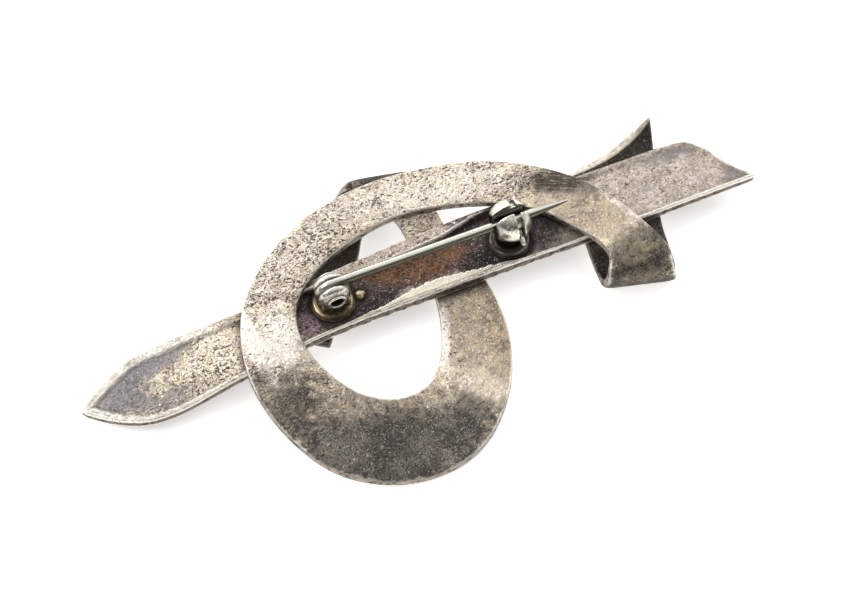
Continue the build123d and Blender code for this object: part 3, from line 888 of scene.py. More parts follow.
def makeCatchRotor():
    centre = x, y, z = catch["x"], catch["y"], catch["height"]
    r, thick, along = rotor["radius"], rotor["thick"], (1, 0, 0)
    piece = rod("catch_rotor", r, rotor["half"], centre, along)
    middle = Vector((x + catch["grooveStart"] + rotor["sideGap"] + thick / 2, y, z))
    turn = Matrix.Rotation(math.radians(rotor["angle"]), 4, "X")
    root = slab("root", middle + turn @ Vector((0, 0, 1)) * rotor["rootAt"],
                (thick - rotor["rootSlack"], rotor["rootWidth"], rotor["rootLength"]), turn)
    paddle = lathe("paddle", [(0, 0)] + rotor["paddle"] + [(0, rotor["reach"])], (0, 0, 0), (0, 0, 1),
                   rotor["paddleSegments"])
    paddle.data.transform(Matrix.Diagonal((thick / 2, rotor["sheet"] / 2, 1, 1)))
    paddle.data.transform(Matrix.Translation(middle) @ turn)
    combine(piece, [root, paddle], "UNION")
    mouth = slab("mouth", (x, y, z + r), (rotor["mouthLength"], rotor["mouth"], 2 * r))
    bore = rod("bore", rotor["bore"], rotor["boreReach"], centre, along, rotor["boreSegments"])
    combine(piece, [mouth, bore], "DIFFERENCE")
    return meltTogether(piece, rotor["voxel"], rotor["soften"])


# Solder bead beside the joint
bead = {"x": -6.05, "radius": 0.53, "seed": 3, "lump": 0.18, "lumpSize": 2.6, "slim": 0.04,
        "steps": 24, "segments": 48}


def makeSolderBead():
    piece = lathe("solder_bead", ballProfile(bead["radius"], bead["steps"]), (bead["x"], 0, seat),
                  (0, 0, 1), bead["segments"])
    for vertex in piece.data.vertices:
        lump = noise.noise(vertex.co * bead["lumpSize"] + Vector((0, 0, bead["seed"])))
        vertex.co.xy += (vertex.co.xy - Vector((bead["x"], 0))) * (bead["lump"] * lump - bead["slim"])
    return toFrame(piece)


pieces = {"bar": makeBarStrip()}
print("bar strip made,", len(pieces["bar"].data.polygons), "faces")
pieces["ribbon"] = makeRibbonStrip()
print("ribbon made,", len(pieces["ribbon"].data.polygons), "faces")
pieces.update(joint=makePinJoint(), rivet=makeJointRivet(), stem=makePinStem())
print("joint, rivet and stem made,", len(pieces["joint"].data.polygons), "faces in the joint")
pieces.update(catch=makeCatchHousing(), rotor=makeCatchRotor(), bead=makeSolderBead())
print("catch made,", len(pieces["catch"].data.polygons), "faces")


# Marks that the mesh itself knows about: worn corners, tarnish with painted shade in hollows, and dirt with
# painted shade beside other pieces
marks = {"sharp": 0.8, "hollow": 0.5, "grimeAndShadeReach": 0.7, "spread": 3,
         "beside": {"bar": ("ribbon", "joint", "catch", "bead"), "ribbon": ("bar",),
                    "joint": ("bar", "rivet", "stem"), "rivet": ("joint",), "stem": ("joint", "rivet"),
                    "catch": ("bar", "rotor"), "rotor": ("catch",), "bead": ("bar",)},
         "foot": {"joint": (1.35, 1.75), "catch": (2.5, 3.5)}, "front": (0.3, 0.7),
         "bore": {"catch": (1.24, 1.5), "rotor": (0.62, 1.0)}, "rivetBore": (0.64, 0.72),
         "inMouth": 0.3, "mouthSide": (0.50, 0.56), "mouthRise": (0.0, 0.3),
         "under": (18, 40), "runFrom": -0.5, "runTo": 1.0}


def roundness(piece):
    # how far each point stands out from the middle of its neighbours
    points, links = readPoints(piece), Links(piece.data)
    normals = readAll(piece.data.vertex_normals, "vector")
    reach = np.linalg.norm(points[links.a] - points[links.b], axis=1)
    size = np.maximum(links.edgeMean(reach, reach), 1e-9)
    bulge = np.einsum("ij,ij->i", points - links.mean(points), normals) / size**2 * mm
    for turn in range(marks["spread"]):
        bulge = 0.5 * bulge + 0.5 * links.mean(bulge)
    return bulge


# dirt with painted shade, darker the nearer the other pieces lie
def grime(piece, others):
    points, reach = readPoints(piece), marks["grimeAndShadeReach"] * mm
    nearest = np.full(len(points), reach)
    for tree in others:
        for number, point in enumerate(points):
            found = tree.find_nearest(point, nearest[number])
            if found[0] is not None:
                nearest[number] = found[3]
    return 1 - nearest / reach


skins = {}
for name, piece in pieces.items():
    piece.data.shade_smooth()
    skins[name] = BVHTree.FromPolygons([Vector(point) for point in readPoints(piece)],
                                       [tuple(face.vertices) for face in piece.data.polygons])
for name, piece in pieces.items():
    bulge = roundness(piece)
    storeMark(piece, "wear", np.clip(bulge / marks["sharp"], 0, 1))
    # hollows: tarnish, with painted shade in the recesses
    storeMark(piece, "hollow", np.clip(-bulge / marks["hollow"], 0, 1))
    storeMark(piece, "grime", grime(piece, [skins[other] for other in marks["beside"][name]]))
for name in ("bar", "ribbon"):
    down = -readAll(pieces[name].data.vertex_normals, "vector")[:, 2]
    storeMark(pieces[name], "front", ease(*marks["front"], down))
# low on the joint and up the catch's neck: dirt and painted shade at the foot
for name, (low, high) in marks["foot"].items():
    storeMark(pieces[name], "foot", 1 - ease(low, high, toBench(pieces[name])[:, 2]))
# inside the bores and the catch's mouth: painted shade
for name, (inner, outer) in marks["bore"].items():
    x, y, z = toBench(pieces[name]).T
    aside, above = np.abs(y - catch["y"]), z - catch["height"]
    inMouth = (1 - ease(*marks["mouthSide"], aside)) * ease(*marks["mouthRise"], above) * marks["inMouth"]
    storeMark(pieces[name], "bore", np.maximum(1 - ease(inner, outer, np.hypot(aside, above)), inMouth))
# inside the rivet's bore: painted shade
x, y, z = toBench(pieces["rivet"]).T
fromAxis = np.hypot(x - joint["x"], z - joint["rivetHeight"])
storeMark(pieces["rivet"], "bore", 1 - ease(*marks["rivetBore"], fromAxis))
# the stem's underside: painted reflection of the dark trough
x, y, z = toBench(pieces["stem"]).T
facing = np.degrees(np.arctan2(-(y - joint["y"]), z - stem["height"]))
onRun = ease(joint["x"] + marks["runFrom"], joint["x"] + marks["runTo"], x)
storeMark(pieces["stem"], "under", ease(*marks["under"], np.abs(facing)) * onRun)
print("wear and dirt marked")


# Shared surface effects, as node groups that give out masks
def mottleGroup():
    t = Group("tarnishMottle", "ShaderNodeTree",
              {"Vector": "Vector", "Scale": 1.0, "Low": 0.4, "High": 0.6}, ("Value", "Float"))
    cloud = t.noise(t.given["Vector"], t.given["Scale"], 7.0, 0.62)
    return t.end(t.step(cloud, t.given["Low"], t.given["High"]))


def pittingGroup():
    t = Group("pitting", "ShaderNodeTree",
              {"Vector": "Vector", "Scale": 3.0, "Amount": 0.5, "Edge": 0.03}, ("Mask", "Float"))
    place, scale, edge = t.given["Vector"], t.given["Scale"], t.given["Edge"]
    wide = t.noise(place, scale, 2.0, Distortion=0.6)
    small = t.noise(place, t.times(scale, 2.3), 2.0, 0.6)
    value = t.math("ADD", t.times(wide, 0.62), t.times(small, 0.38))
    level = t.math("ADD", 0.30, t.times(t.given["Amount"], 0.2))
    return t.end(t.step(value, t.math("SUBTRACT", level, edge), t.math("ADD", level, edge), 1.0, 0.0))


def scratchGroup():
    t = Group("fineScratches", "ShaderNodeTree",
              {"Vector": "Vector", "Turn": 0.3, "Fineness": 14.0, "Amount": 0.5}, ("Mask", "Float"))
    place = t.given["Vector"]
    turned = t.add("ShaderNodeVectorRotate", {"rotation_type": "Z_AXIS"}, Vector=place,
                   Angle=t.given["Turn"]).outputs[0]
    lines = t.noise(t.vector("MULTIPLY", turned, (0.12, 1.0, 1.0)), t.given["Fineness"], 2.0)
    level = t.math("SUBTRACT", 0.72, t.times(t.given["Amount"], 0.16))
    patchy = t.times(t.math("SUBTRACT", t.noise(place, 0.7, 2.0), 0.5), 0.35)
    level = t.math("SUBTRACT", level, patchy)
    return t.end(t.step(lines, level, t.math("ADD", level, 0.05), curve="LINEAR"))


def wearGroup():
    t = Group("edgeWear", "ShaderNodeTree",
              {"Vector": "Vector", "Wear": 0.0, "Low": 0.2, "High": 0.5}, ("Mask", "Float"))
    broken = t.times(t.math("SUBTRACT", t.noise(t.given["Vector"], 2.2, 6.0, 0.7), 0.5), 0.9)
    return t.end(t.step(t.math("SUBTRACT", t.given["Wear"], broken), t.given["Low"], t.given["High"]))


def stainGroup():
    t = Group("stainPatch", "ShaderNodeTree",
              {"Vector": "Vector", "Centre": "Vector", "Size": "Vector", "Turn": 0.0, "Ragged": 0.4,
               "Soft": 0.5, "Strength": 1.0, "Before": 0.0}, ("Value", "Float"))
    place, soft = t.given["Vector"], t.given["Soft"]
    turned = t.add("ShaderNodeVectorRotate", {"rotation_type": "Z_AXIS"}, Angle=t.given["Turn"],
                   Vector=t.vector("SUBTRACT", place, t.given["Centre"])).outputs[0]
    reach = t.vector("LENGTH", t.vector("DIVIDE", turned, t.given["Size"]))
    rough = t.math("SUBTRACT", t.noise(place, 0.9, 8.0, 0.66), 0.5)
    push = t.times(rough, t.times(t.given["Ragged"], 4.0))
    fade = t.step(t.math("ADD", reach, push), t.without(soft), t.math("ADD", 1.0, soft), 1.0, 0.0)
    mask = t.times(fade, t.given["Strength"])
    return t.end(t.without(t.times(t.without(t.given["Before"]), t.without(mask))))


groups = {"mottle": mottleGroup(), "pits": pittingGroup(), "scratches": scratchGroup(),
          "wear": wearGroup(), "stain": stainGroup()}

tone = {"ribbonBase": (0.57, 0.48, 0.375), "barBase": (0.56, 0.475, 0.39), "finding": (0.66, 0.64, 0.52),
        "stem": (0.80, 0.79, 0.70), "solder": (1.0, 0.86, 0.56), "plain": (0.76, 0.72, 0.65),
        "bright": (0.96, 0.92, 0.84), "pink": (0.92, 0.83, 0.76), "cream": (0.90, 0.82, 0.69),
        "yellow": (0.80, 0.68, 0.42), "creaseHighlight": (0.80, 0.70, 0.56), "pale": (0.74, 0.67, 0.63),
        "golden": (0.56, 0.44, 0.28), "grain": (0.48, 0.42, 0.33), "ash": (0.42, 0.38, 0.35),
        "olive": (0.42, 0.41, 0.32), "haze": (0.40, 0.33, 0.27), "dusk": (0.40, 0.30, 0.32),
        "wall": (0.36, 0.29, 0.24), "lilac": (0.36, 0.33, 0.37), "rose": (0.34, 0.24, 0.27),
        "honey": (0.34, 0.275, 0.205), "amber": (0.30, 0.245, 0.155), "tan": (0.26, 0.21, 0.17),
        "slate": (0.26, 0.25, 0.26), "umber": (0.25, 0.215, 0.15), "rust": (0.25, 0.118, 0.05),
        "smoke": (0.20, 0.17, 0.165), "side": (0.17, 0.13, 0.10), "grey": (0.145, 0.130, 0.115),
        "mauve": (0.115, 0.08, 0.085), "purple": (0.095, 0.07, 0.12), "brown": (0.060, 0.046, 0.036),
        "soot": (0.052, 0.046, 0.043), "ink": (0.030, 0.026, 0.023), "shadow": (0.024, 0.018, 0.016),
        "black": (0.018, 0.015, 0.013), "brass": (0.62, 0.42, 0.16), "stemUnder": (0.13, 0.125, 0.08),
        "jointFoot": (0.13, 0.105, 0.06), "jointGlint": (0.65, 0.525, 0.30),
        "catchFoot": (0.045, 0.038, 0.032), "catchGlint": (0.225, 0.19, 0.16)}


class Finish(Nodes):
    # one piece's material: masks in millimetres feed colour, roughness and bump
    def __init__(self, name, colour, rough):
        self.material = bpy.data.materials.new(name)
        self.material.use_nodes = True
        super().__init__(self.material.node_tree)
        self.place = self.vector("SCALE", self.add("ShaderNodeTexCoord").outputs["Object"], scale=1 / mm)
        self.colour, self.rough, self.metal, self.height = (*tone[colour], 1), rough, 1.0, 0.0

    def attribute(self, name):
        return self.add("ShaderNodeAttribute", {"attribute_name": name}).outputs["Fac"]

    def group(self, name, **feeds):
        feeds.setdefault("Vector", self.place)
        return self.add("ShaderNodeGroup", {"node_tree": groups[name]}, **feeds).outputs[0]

    def mottle(self, scale, low, high):
        return self.group("mottle", Scale=scale, Low=low, High=high)

    def pits(self, scale, amount, edge=0.05, stretch=None):
        place = self.vector("MULTIPLY", self.place, stretch) if stretch else self.place
        return self.group("pits", Vector=place, Scale=scale, Amount=amount, Edge=edge)

    def stains(self, patches):
        value = 0.0
        for x, y, width, height, turn, ragged, soft, strength in patches:
            value = self.group("stain", Centre=(x + benchZero.x / mm, y + benchZero.y / mm, 3.0),
                               Size=(width, height, 40.0), Turn=-math.radians(turn), Ragged=ragged,
                               Soft=soft, Strength=strength, Before=value)
        return value

    def blend(self, a, b, mask, kind="FLOAT"):
        return self.add("ShaderNodeMix", {"data_type": kind}, Factor=mask, A=a, B=b).outputs["Result"]

    def levels(self, value, *steps):
        for mask, level in steps:
            value = self.blend(value, level, mask)
        return value

    def tint(self, masks, colour, rough=None, metal=None):
        # the masks are multiplied
        mask = self.times(*masks)
        self.colour = self.blend(self.colour, (*tone[colour], 1), mask, "RGBA")
        if rough is not None:
            self.rough = self.blend(self.rough, rough, mask)
        if metal is not None:
            self.metal = self.blend(self.metal, metal, mask)

    def raiseBy(self, *rises):
        for mask, amount in rises:
            self.height = self.math("MULTIPLY_ADD", mask, amount, self.height)

    def close(self, strength):
        bump = self.add("ShaderNodeBump", None, Strength=strength, Distance=mm, Height=self.height)
        shader = self.tree.nodes["Principled BSDF"].inputs
        self.feed(shader["Normal"], bump.outputs[0])
        self.feed(shader["Base Color"], self.colour)
        self.feed(shader["Roughness"], self.rough)
        self.feed(shader["Metallic"], self.metal)
        return self.material


# stains: place on the bench, size, turn in degrees, raggedness, softness, strength
ribbonStains = {
    # light: painted highlights
    "light": [(-15.8, -2.8, 3.2, 2.4, 10, 0.6, 0.5, 0.7), (-18.2, -0.6, 1.0, 7.0, 8, 0.15, 0.4, 0.95),
              (4.0, 8.0, 11.0, 2.4, -6, 0.6, 0.6, 0.45), (0.0, -7.4, 0.55, 3.4, -22, 0.2, 0.4, 0.95),
              (22.4, -1.6, 0.7, 4.4, 33, 0.2, 0.4, 0.9), (-15.0, -1.6, 2.0, 3.4, 0, 0.7, 0.5, 0.5),
              (-12.4, 6.2, 6.0, 3.6, 35, 0.7, 0.5, 0.34)],
    "dim": [(18.6, 1.6, 5.5, 4.6, 0, 0.7, 0.6, 0.95), (4.4, -8.5, 3.0, 7.0, 0, 0.8, 0.6, 0.6),
            (-16.5, -9.5, 2.8, 4.2, 20, 0.8, 0.6, 0.7), (-13.0, 2.4, 3.6, 4.6, 30, 0.7, 0.5, 0.5)],
    # dark: tarnish film with painted shade
    "dark": [(-10.8, -16.6, 10.5, 5.6, -4, 0.6, 0.5, 0.96), (-2.8, -16.8, 5.2, 3.2, 30, 0.6, 0.5, 0.62),
             (6.3, -9.0, 1.6, 3.4, 5, 0.9, 0.5, 0.6), (5.2, -2.2, 3.0, 1.6, 0, 0.4, 0.4, 0.7),
             (21.6, -6.8, 4.2, 2.6, 20, 0.5, 0.4, 0.97), (-17.6, -8.8, 3.4, 3.4, 20, 0.9, 0.6, 0.62),
             (18.0, 3.2, 4.4, 1.7, -28, 0.8, 0.5, 0.66)],
    "amber": [(22.0, -7.4, 4.4, 2.6, 20, 0.6, 0.5, 0.75)],
    "pitted": [(-11.0, 4.5, 8.0, 5.0, 35, 0.6, 0.5, 0.9)],
    "soft": [(4.6, -8.6, 4.0, 7.0, 0, 0.5, 0.5, 1.0), (20.0, -1.6, 7.0, 6.0, -40, 0.5, 0.4, 1.0),
             (-7.0, -17.0, 14.0, 6.5, 0, 0.5, 0.5, 0.9)],
    "golden": [(4.8, -7.6, 3.2, 5.6, 0, 0.6, 0.6, 0.95), (18.6, -1.0, 3.4, 2.2, -30, 0.6, 0.5, 0.9)],
    "creaseHighlight": [(1.7, -12.9, 1.1, 3.9, 42, 0.5, 0.6, 1.0)],
    "scraped": [(17.2, 3.9, 2.8, 1.5, -20, 0.3, 0.3, 1.0)]}


def ribbonSilver():
    f = Finish("ribbonSilver", "ribbonBase", 0.42)
    stain = {name: f.stains(rows) for name, rows in ribbonStains.items()}
    hidden, cut = f.attribute("hidden"), f.attribute("cut")
    dark = f.math("MAXIMUM", stain["dark"], hidden)
    light = f.times(stain["light"], f.without(hidden))
    lit = f.levels(0.50, (stain["dim"], 0.28), (light, 0.95), (dark, -0.02))
    f.tint([f.mottle(0.45, 0.42, 0.62), 0.7], "haze", 0.46)
    f.tint([f.mottle(0.7, 0.48, 0.66), 0.7], "yellow", 0.4)
    f.tint([f.mottle(0.38, 0.54, 0.68), 0.35], "dusk", 0.44)
    # painted highlight: pinkish light on the light patches
    f.tint([light, 0.6], "pink", 0.36)
    # dark film of tarnish at the bottom of the loop and in the fold, with painted shade there, and painted
    # shadow on the parts out of sight
    f.tint([dark], "grey", 0.42)
    f.tint([dark, f.mottle(0.55, 0.54, 0.70), 0.7], "umber", 0.4)
    f.tint([dark, f.mottle(0.26, 0.38, 0.56), 0.9], "soot", 0.38, 0.9)
    f.tint([dark, f.pits(4.0, 0.78)], "ink", 0.5, 0.8)
    f.tint([dark, f.pits(4.9, 0.46, 0.04), 0.85], "grain", 0.34)
    f.tint([stain["amber"], f.mottle(0.8, 0.42, 0.64)], "amber", 0.38)
    f.tint([hidden, 0.6], "shadow", 0.5, 0.7)
    # bright flecks, and pits of two sizes
    fleck = f.pits(3.3, f.math("ADD", lit, 0.1), 0.04, (1.0, 1.2, 1.0))
    f.tint([fleck, f.blend(0.95, 0.35, dark)], "bright", 0.30)
    f.tint([f.pits(6.4, lit), f.blend(0.7, 0.4, dark)], "pink", 0.32)
    smooth = f.times(f.without(light, 0.5), f.without(stain["soft"], 0.62))
    most = f.blend(f.mottle(0.3, 0.35, 0.65), 1.0, stain["pitted"])
    coarse = f.pits(2.9, f.times(f.blend(0.32, 0.88, most), smooth), 0.035, (1.0, 1.5, 1.0))
    finer = f.blend(0.5, 0.82, f.mottle(0.5, 0.4, 0.6))
    fine = f.pits(5.4, f.times(finer, smooth), 0.03, (0.8, 1.3, 1.0))
    f.tint([fine, 0.75], "brown", 0.55, 0.8)
    f.tint([coarse, 0.95], "brown", 0.6, 0.7)
    # golden tarnish, and a painted highlight along the crease
    golden, creaseHighlight = stain["golden"], stain["creaseHighlight"]
    f.tint([golden, 0.6], "honey", 0.4)
    f.tint([golden, f.mottle(0.9, 0.44, 0.64)], "golden", 0.36)
    f.tint([golden, f.mottle(0.6, 0.50, 0.66), 0.8], "smoke", 0.42)
    f.tint([golden, f.pits(4.8, 0.55)], "cream", 0.32)
    f.tint([golden, f.pits(5.2, 0.5)], "brown", 0.5)
    f.tint([creaseHighlight, 0.6], "creaseHighlight", 0.34)
    f.tint([creaseHighlight, f.pits(4.6, 0.5)], "bright", 0.28)
    f.tint([creaseHighlight, f.pits(5.0, 0.45)], "haze", 0.45)
    f.tint([f.attribute("front")], "plain", 0.3, 1.0)
    # scratches, dirt with painted shade beside the bar, worn edges, and painted shade on the wall of the
    # sheet
    deep = f.times(f.group("scratches", Turn=0.40, Fineness=6.0, Amount=1.7), stain["scraped"])
    f.tint([f.group("scratches", Turn=-0.5, Fineness=16.0, Amount=0.55), 0.25], "bright", 0.3)
    f.tint([deep, 0.75], "brown", 0.6)
    f.tint([f.attribute("grime"), 0.9], "brown", 0.6, 0.7)
    fromMiddle = f.math("ABSOLUTE", f.attribute("across"))
    corner = f.times(f.math("SUBTRACT", fromMiddle, 0.90), f.blend(5.0, 9.0, f.mottle(0.3, 0.4, 0.6)))
    worn = f.group("wear", Wear=f.math("MAXIMUM", f.attribute("wear"), corner), Low=0.25, High=0.6)
    f.tint([worn, f.without(hidden, 0.7), f.blend(0.9, 0.5, dark)], "bright", 0.28)
    wall = f.step(fromMiddle, 0.985, 0.995, curve="LINEAR")
    f.tint([wall, 0.85], "wall", 0.45)
    f.tint([wall, f.mottle(1.2, 0.48, 0.62)], "brown", 0.5)
    f.tint([cut, 0.85], "cream", 0.36)
    f.tint([cut, f.mottle(1.6, 0.46, 0.60), 0.6], "haze", 0.45)
    f.raiseBy((coarse, -0.07), (fine, -0.028), (fleck, 0.012), (deep, -0.05),
              (f.mottle(1.6, 0.2, 0.8), 0.07), (f.mottle(0.5, 0.2, 0.8), 0.12))
    return f.close(0.9)


barStains = {
    "slate": [(-29.4, 0.4, 6.2, 2.6, 24, 0.4, 0.3, 0.95), (-26.0, 1.9, 5.0, 1.3, 16, 0.4, 0.3, 0.9),
              (-29.0, -2.6, 4.0, 1.6, -10, 0.6, 0.4, 0.75), (31.0, 3.2, 4.4, 0.8, 0, 0.5, 0.5, 0.9),
              (34.4, -1.4, 1.4, 2.4, -14, 0.4, 0.5, 0.9), (12.6, -1.9, 3.4, 0.8, -5, 0.4, 0.4, 0.6)],
    "bared": [(-27.4, -1.2, 2.9, 1.3, 22, 1.0, 0.7, 0.9)],
    "cream": [(-21.3, -0.6, 3.0, 3.2, 20, 0.6, 0.35, 0.95), (-26.0, -2.0, 2.8, 1.6, 10, 0.8, 0.4, 0.7)],
    "trough": [(-8.0, 0.4, 6.6, 3.4, 0, 0.2, 0.15, 1.0), (8.8, 0.9, 7.2, 3.3, 0, 0.2, 0.15, 1.0),
               (0.2, 1.3, 6.0, 2.4, -3, 0.2, 0.2, 1.0)],
    "rust": [(0.4, 1.1, 5.4, 2.0, -3, 0.5, 0.45, 0.95)],
    "rose": [(-12.2, -1.2, 1.6, 1.4, 0, 0.5, 0.4, 0.8)],
    # shade: painted shadows in the trough
    "shade": [(8.0, -1.0, 3.4, 1.3, -6, 0.4, 0.4, 1.0), (-6.0, -1.6, 2.0, 0.8, 0, 0.5, 0.4, 0.7),
              (-2.6, -1.0, 2.2, 0.7, -4, 0.8, 0.4, 0.7)],
    "farRim": [(7.4, 3.8, 3.4, 1.2, 0, 0.5, 0.4, 0.9)],
    "soft": [(27.0, 0.5, 11.0, 6.0, 0, 0.3, 0.3, 1.0)],
    # painted highlight on the rim at the left end
    "leftRimHighlight": [(-29.5, 0.0, 8.5, 5.4, 0, 0.2, 0.2, 1.0)]}


def barSilver():
    f = Finish("barSilver", "barBase", 0.42)
    stain = {name: f.stains(rows) for name, rows in barStains.items()}
    crest, side, band = f.attribute("crest"), f.attribute("side"), f.attribute("band")
    bared = f.times(stain["bared"], f.mottle(1.2, 0.36, 0.52))
    slate = f.times(stain["slate"], f.without(crest, 0.8), f.without(bared))
    low = f.times(stain["trough"], f.without(crest))
    lit = f.levels(0.5, (stain["cream"], 0.95), (slate, -0.05), (low, -0.4))
    f.tint([f.mottle(0.6, 0.42, 0.62), 0.6], "haze", 0.48)
    f.tint([stain["cream"], f.mottle(1.1, 0.42, 0.6)], "yellow", 0.38)
    f.tint([slate], "slate", 0.42)
    # heat colours in the trough, with black painted shadows in patches of it
    f.tint([low], "mauve", 0.40)
    f.tint([low, f.mottle(1.3, 0.48, 0.62)], "purple", 0.38)
    f.tint([low, f.mottle(1.9, 0.44, 0.60)], "brown", 0.40, 0.85)
    f.tint([low, stain["rust"], f.mottle(1.8, 0.32, 0.56)], "rust", 0.40)
    f.tint([low, stain["rose"]], "rose", 0.4)
    f.tint([low, stain["shade"]], "black", 0.42, 0.8)
    f.tint([low, f.pits(5.0, 0.55, 0.04), 0.8], "lilac", 0.3)
    f.tint([low, f.pits(3.4, 0.34, 0.03), 0.9], "cream", 0.3)
    f.tint([stain["farRim"], crest], "purple", 0.4)
    # bright flecks, and pits of two sizes, finer towards the fishtail
    fleck = f.pits(3.3, f.math("ADD", lit, 0.1), 0.04, (1.0, 1.2, 1.0))
    f.tint([fleck, 0.9], "cream", 0.32)
    f.tint([f.pits(6.4, lit), 0.65], "pink", 0.32)
    soft = stain["soft"]
    f.tint([soft, f.mottle(0.5, 0.42, 0.64), 0.5], "ash", 0.42)
    f.tint([soft, f.mottle(0.8, 0.48, 0.66), 0.6], "pale", 0.32)
    f.tint([soft, f.mottle(2.4, 0.48, 0.62), 0.5], "tan", 0.45)
    most = f.levels(0.3, (f.mottle(0.35, 0.35, 0.6), 0.74), (soft, 0.34))
    coarse = f.pits(2.8, most, 0.035, (1.0, 1.4, 1.0))
    fine = f.pits(5.6, f.blend(0.66, 0.6, soft), 0.04)
    calm = f.without(slate, 0.7)
    f.tint([fine, 0.7, calm], "brown", 0.55, 0.8)
    f.tint([coarse, 0.95, calm], "brown", 0.6, 0.7)
    f.tint([f.attribute("front")], "plain", 0.3, 1.0)
    # torn solder band, a painted highlight on the rim at the left end, tarnish with painted shade in
    # hollows, dirt with painted shade beside other pieces, and painted shade on the wall of the sheet
    f.tint([band, 0.95], "cream", 0.27)
    f.tint([band, f.pits(4.0, 0.35, 0.03), 0.9], "haze", 0.4)
    f.tint([crest, stain["leftRimHighlight"], f.blend(0.35, 0.75, f.mottle(0.9, 0.4, 0.6))], "bright", 0.3)
    f.tint([f.attribute("hollow"), 0.4], "brown", 0.6, 0.7)
    f.tint([f.attribute("grime")], "black", 0.6, 0.6)
    f.tint([side, 0.92], "side", 0.45)
    f.tint([side, f.mottle(2.2, 0.52, 0.66), 0.6], "haze", 0.4)
    f.tint([side, f.mottle(1.7, 0.46, 0.60)], "brown", 0.5)
    f.tint([f.group("wear", Wear=f.attribute("wear"), Low=0.10, High=0.40), 0.9], "bright", 0.26)
    f.raiseBy((coarse, -0.06), (fine, -0.025), (fleck, 0.012), (f.mottle(1.4, 0.2, 0.8), 0.08))
    return f.close(0.9)


def findingSilver(name, seed):
    f = Finish(name + "Silver", "finding", 0.13)
    f.tint([f.mottle(0.8 + seed * 0.2, 0.45, 0.65)], "olive", 0.20)
    f.tint([f.mottle(2.6, 0.56, 0.68), 0.5], "haze", 0.3)
    fine = f.pits(3.6, 0.38, 0.04)
    f.tint([fine, 0.8], "brown", 0.5, 0.8)
    # tarnish with painted shade in the hollows, and dirt with painted shade beside other pieces
    f.tint([f.attribute("hollow"), 0.8], "black", 0.6, 0.7)
    f.tint([f.attribute("grime"), 0.7], "black", 0.5, 0.7)
    worn = f.group("wear", Wear=f.attribute("wear"), Low=0.1, High=0.5)
    f.tint([worn, 0.75], "bright", 0.18)
    if name in marks["foot"]:
        # dirt and painted shade on the foot, reaching up the catch's neck under its ball
        low = f.attribute("foot")
        f.tint([low], name + "Foot", 0.28)
        f.tint([low, f.mottle(0.9, 0.40, 0.60), 0.85], "black", 0.4, 0.8)
        f.tint([worn, low, f.mottle(0.45, 0.42, 0.60), 0.75], name + "Glint", 0.22)
    # painted shade inside the bores and in the catch's mouth
    f.tint([f.attribute("bore")], "black", 0.6, 0.4)
    f.raiseBy((fine, -0.02), (f.mottle(2.2, 0.2, 0.8), 0.018), (f.mottle(0.7, 0.2, 0.8), 0.04))
    return f.close(0.7)


def stemSilver():
    f = Finish("stemSilver", "stem", 0.16)
    f.tint([f.mottle(0.8, 0.5, 0.8), 0.5], "olive", 0.26)
    # painted reflection of the dark trough on the wire's underside, and dirt with painted shade by the
    # joint
    f.tint([f.attribute("under"), 0.95], "stemUnder", 0.3)
    f.tint([f.attribute("grime"), 0.8], "brown", 0.5)
    f.raiseBy((f.mottle(1.2, 0.2, 0.8), 0.02))
    return f.close(0.5)


def solderGold():
    f = Finish("solderGold", "solder", 0.16)
    f.tint([f.mottle(1.6, 0.54, 0.64)], "brass", 0.3)
    # dirt with painted shade beside the bar
    f.tint([f.attribute("grime"), 0.8], "brown", 0.5)
    f.raiseBy((f.mottle(3.0, 0.2, 0.8), 0.08))
    return f.close(0.8)


dressing = {"bar": (barSilver(), "brooch", "ribbon_body", "silver"),
            "ribbon": (ribbonSilver(), "brooch", "ribbon_body", "silver"),
            "joint": (findingSilver("joint", 0), "brooch", "ribbon_body", "silver"),
            "catch": (findingSilver("catch", 1), "brooch", "ribbon_body", "silver"),
            "bead": (solderGold(), "brooch", "ribbon_body", "silver"),
            "rivet": (findingSilver("rivet", 2), "brooch", "joint_rivet", "findings"),
            "stem": (stemSilver(), "stem", "pin_stem", "findings"),
            "rotor": (findingSilver("rotor", 3), "rotor", "catch_rotor", "findings")}
for name, (material, body, node, slotName) in dressing.items():
    piece = pieces[name]
    piece.data.materials.clear()
    piece.data.materials.append(material)
    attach(piece, body)
    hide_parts(node)
print("materials set")


# Pale floor and soft studio light
studio = {"floorSize": 1.5, "paper": ((0.95, 0.95, 0.95, 1), (0.97, 0.97, 0.97, 1)), "paperRough": 0.9,
          "paperGlow": 0.5, "grain": 30.0, "skyTop": 0.95, "skyLow": 0.13, "skyFrom": -0.5,
          "skyTo": 0.75, "skyColour": (1, 0.99, 0.975, 1), "skyLean": 0.8, "skyRise": 0.6}
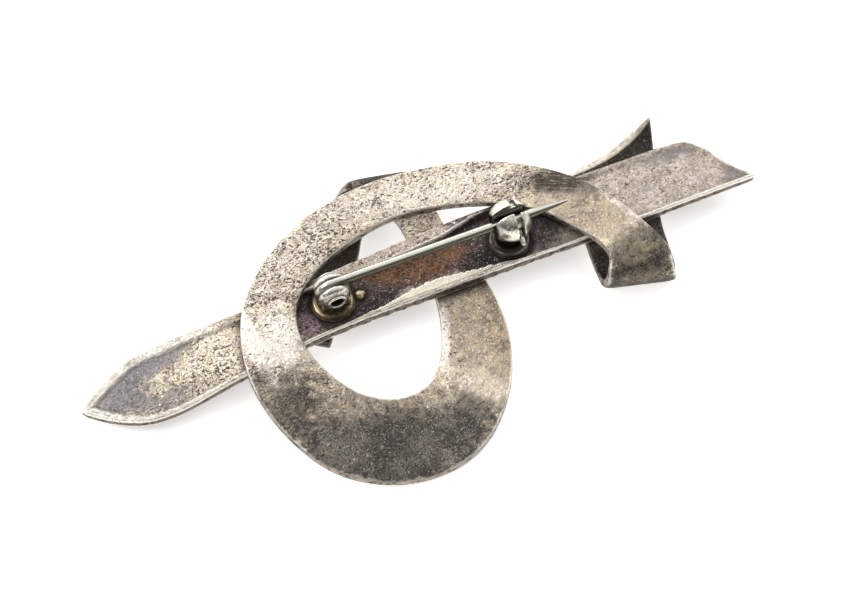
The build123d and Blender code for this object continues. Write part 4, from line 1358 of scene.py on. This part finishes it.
# direction, distance, size and power
lights = {"leftSoft": ((-0.9, 0.35, 0.9), 0.6, (0.35, 0.3), 1.2),
          "rightSoft": ((0.9, 0.3, 0.8), 0.7, (0.25, 0.25), 0.5),
          "backStrip": ((-0.25, 0.95, 0.55), 0.6, (0.6, 0.12), 1.2)}


def makeFloor():
    work = bmesh.new()
    bmesh.ops.create_grid(work, x_segments=8, y_segments=8, size=studio["floorSize"])
    mesh = bpy.data.meshes.new("floor")
    work.to_mesh(mesh)
    work.free()
    floor = addObject("floor", mesh)
    material = bpy.data.materials.new("floorPaper")
    material.use_nodes = True
    t = Nodes(material.node_tree)
    grain = t.noise(t.add("ShaderNodeTexCoord").outputs["Object"], studio["grain"], 2.0)
    first, second = studio["paper"]
    paper = t.add("ShaderNodeMix", {"data_type": "RGBA"}, Factor=grain, A=first, B=second).outputs["Result"]
    shader = t.tree.nodes["Principled BSDF"].inputs
    t.feed(shader["Base Color"], paper)
    t.feed(shader["Emission Color"], paper)
    t.feed(shader["Roughness"], studio["paperRough"])
    t.feed(shader["Emission Strength"], studio["paperGlow"])
    mesh.materials.append(material)


def makeWorld():
    # a pale room, brighter behind and above the brooch than on the camera's side
    scene.world = bpy.data.worlds.new("studio")
    scene.world.use_nodes = True
    t = Nodes(scene.world.node_tree)
    turn, lean = math.radians(shot["azimuth"]), studio["skyLean"]
    bright = Vector((-math.sin(turn) * lean, math.cos(turn) * lean, studio["skyRise"]))
    toward = t.vector("DOT_PRODUCT", t.add("ShaderNodeTexCoord").outputs["Generated"], bright)
    background = t.tree.nodes["Background"].inputs
    t.feed(background["Strength"], t.step(toward, studio["skyFrom"], studio["skyTo"],
                                          studio["skyLow"], studio["skyTop"]))
    t.feed(background["Color"], studio["skyColour"])


def makeLights():
    for name, (direction, distance, size, power) in lights.items():
        away = Vector(direction).normalized()
        data = bpy.data.lights.new(name, "AREA")
        data.shape = "RECTANGLE"
        data.size, data.size_y = size
        data.energy = power
        light = addObject(name, data)
        light.location = away * distance
        light.rotation_euler = away.to_track_quat("Z", "Y").to_euler()


makeFloor()
makeWorld()
makeLights()
scene.view_settings.view_transform = "Standard"
print("stage lit")
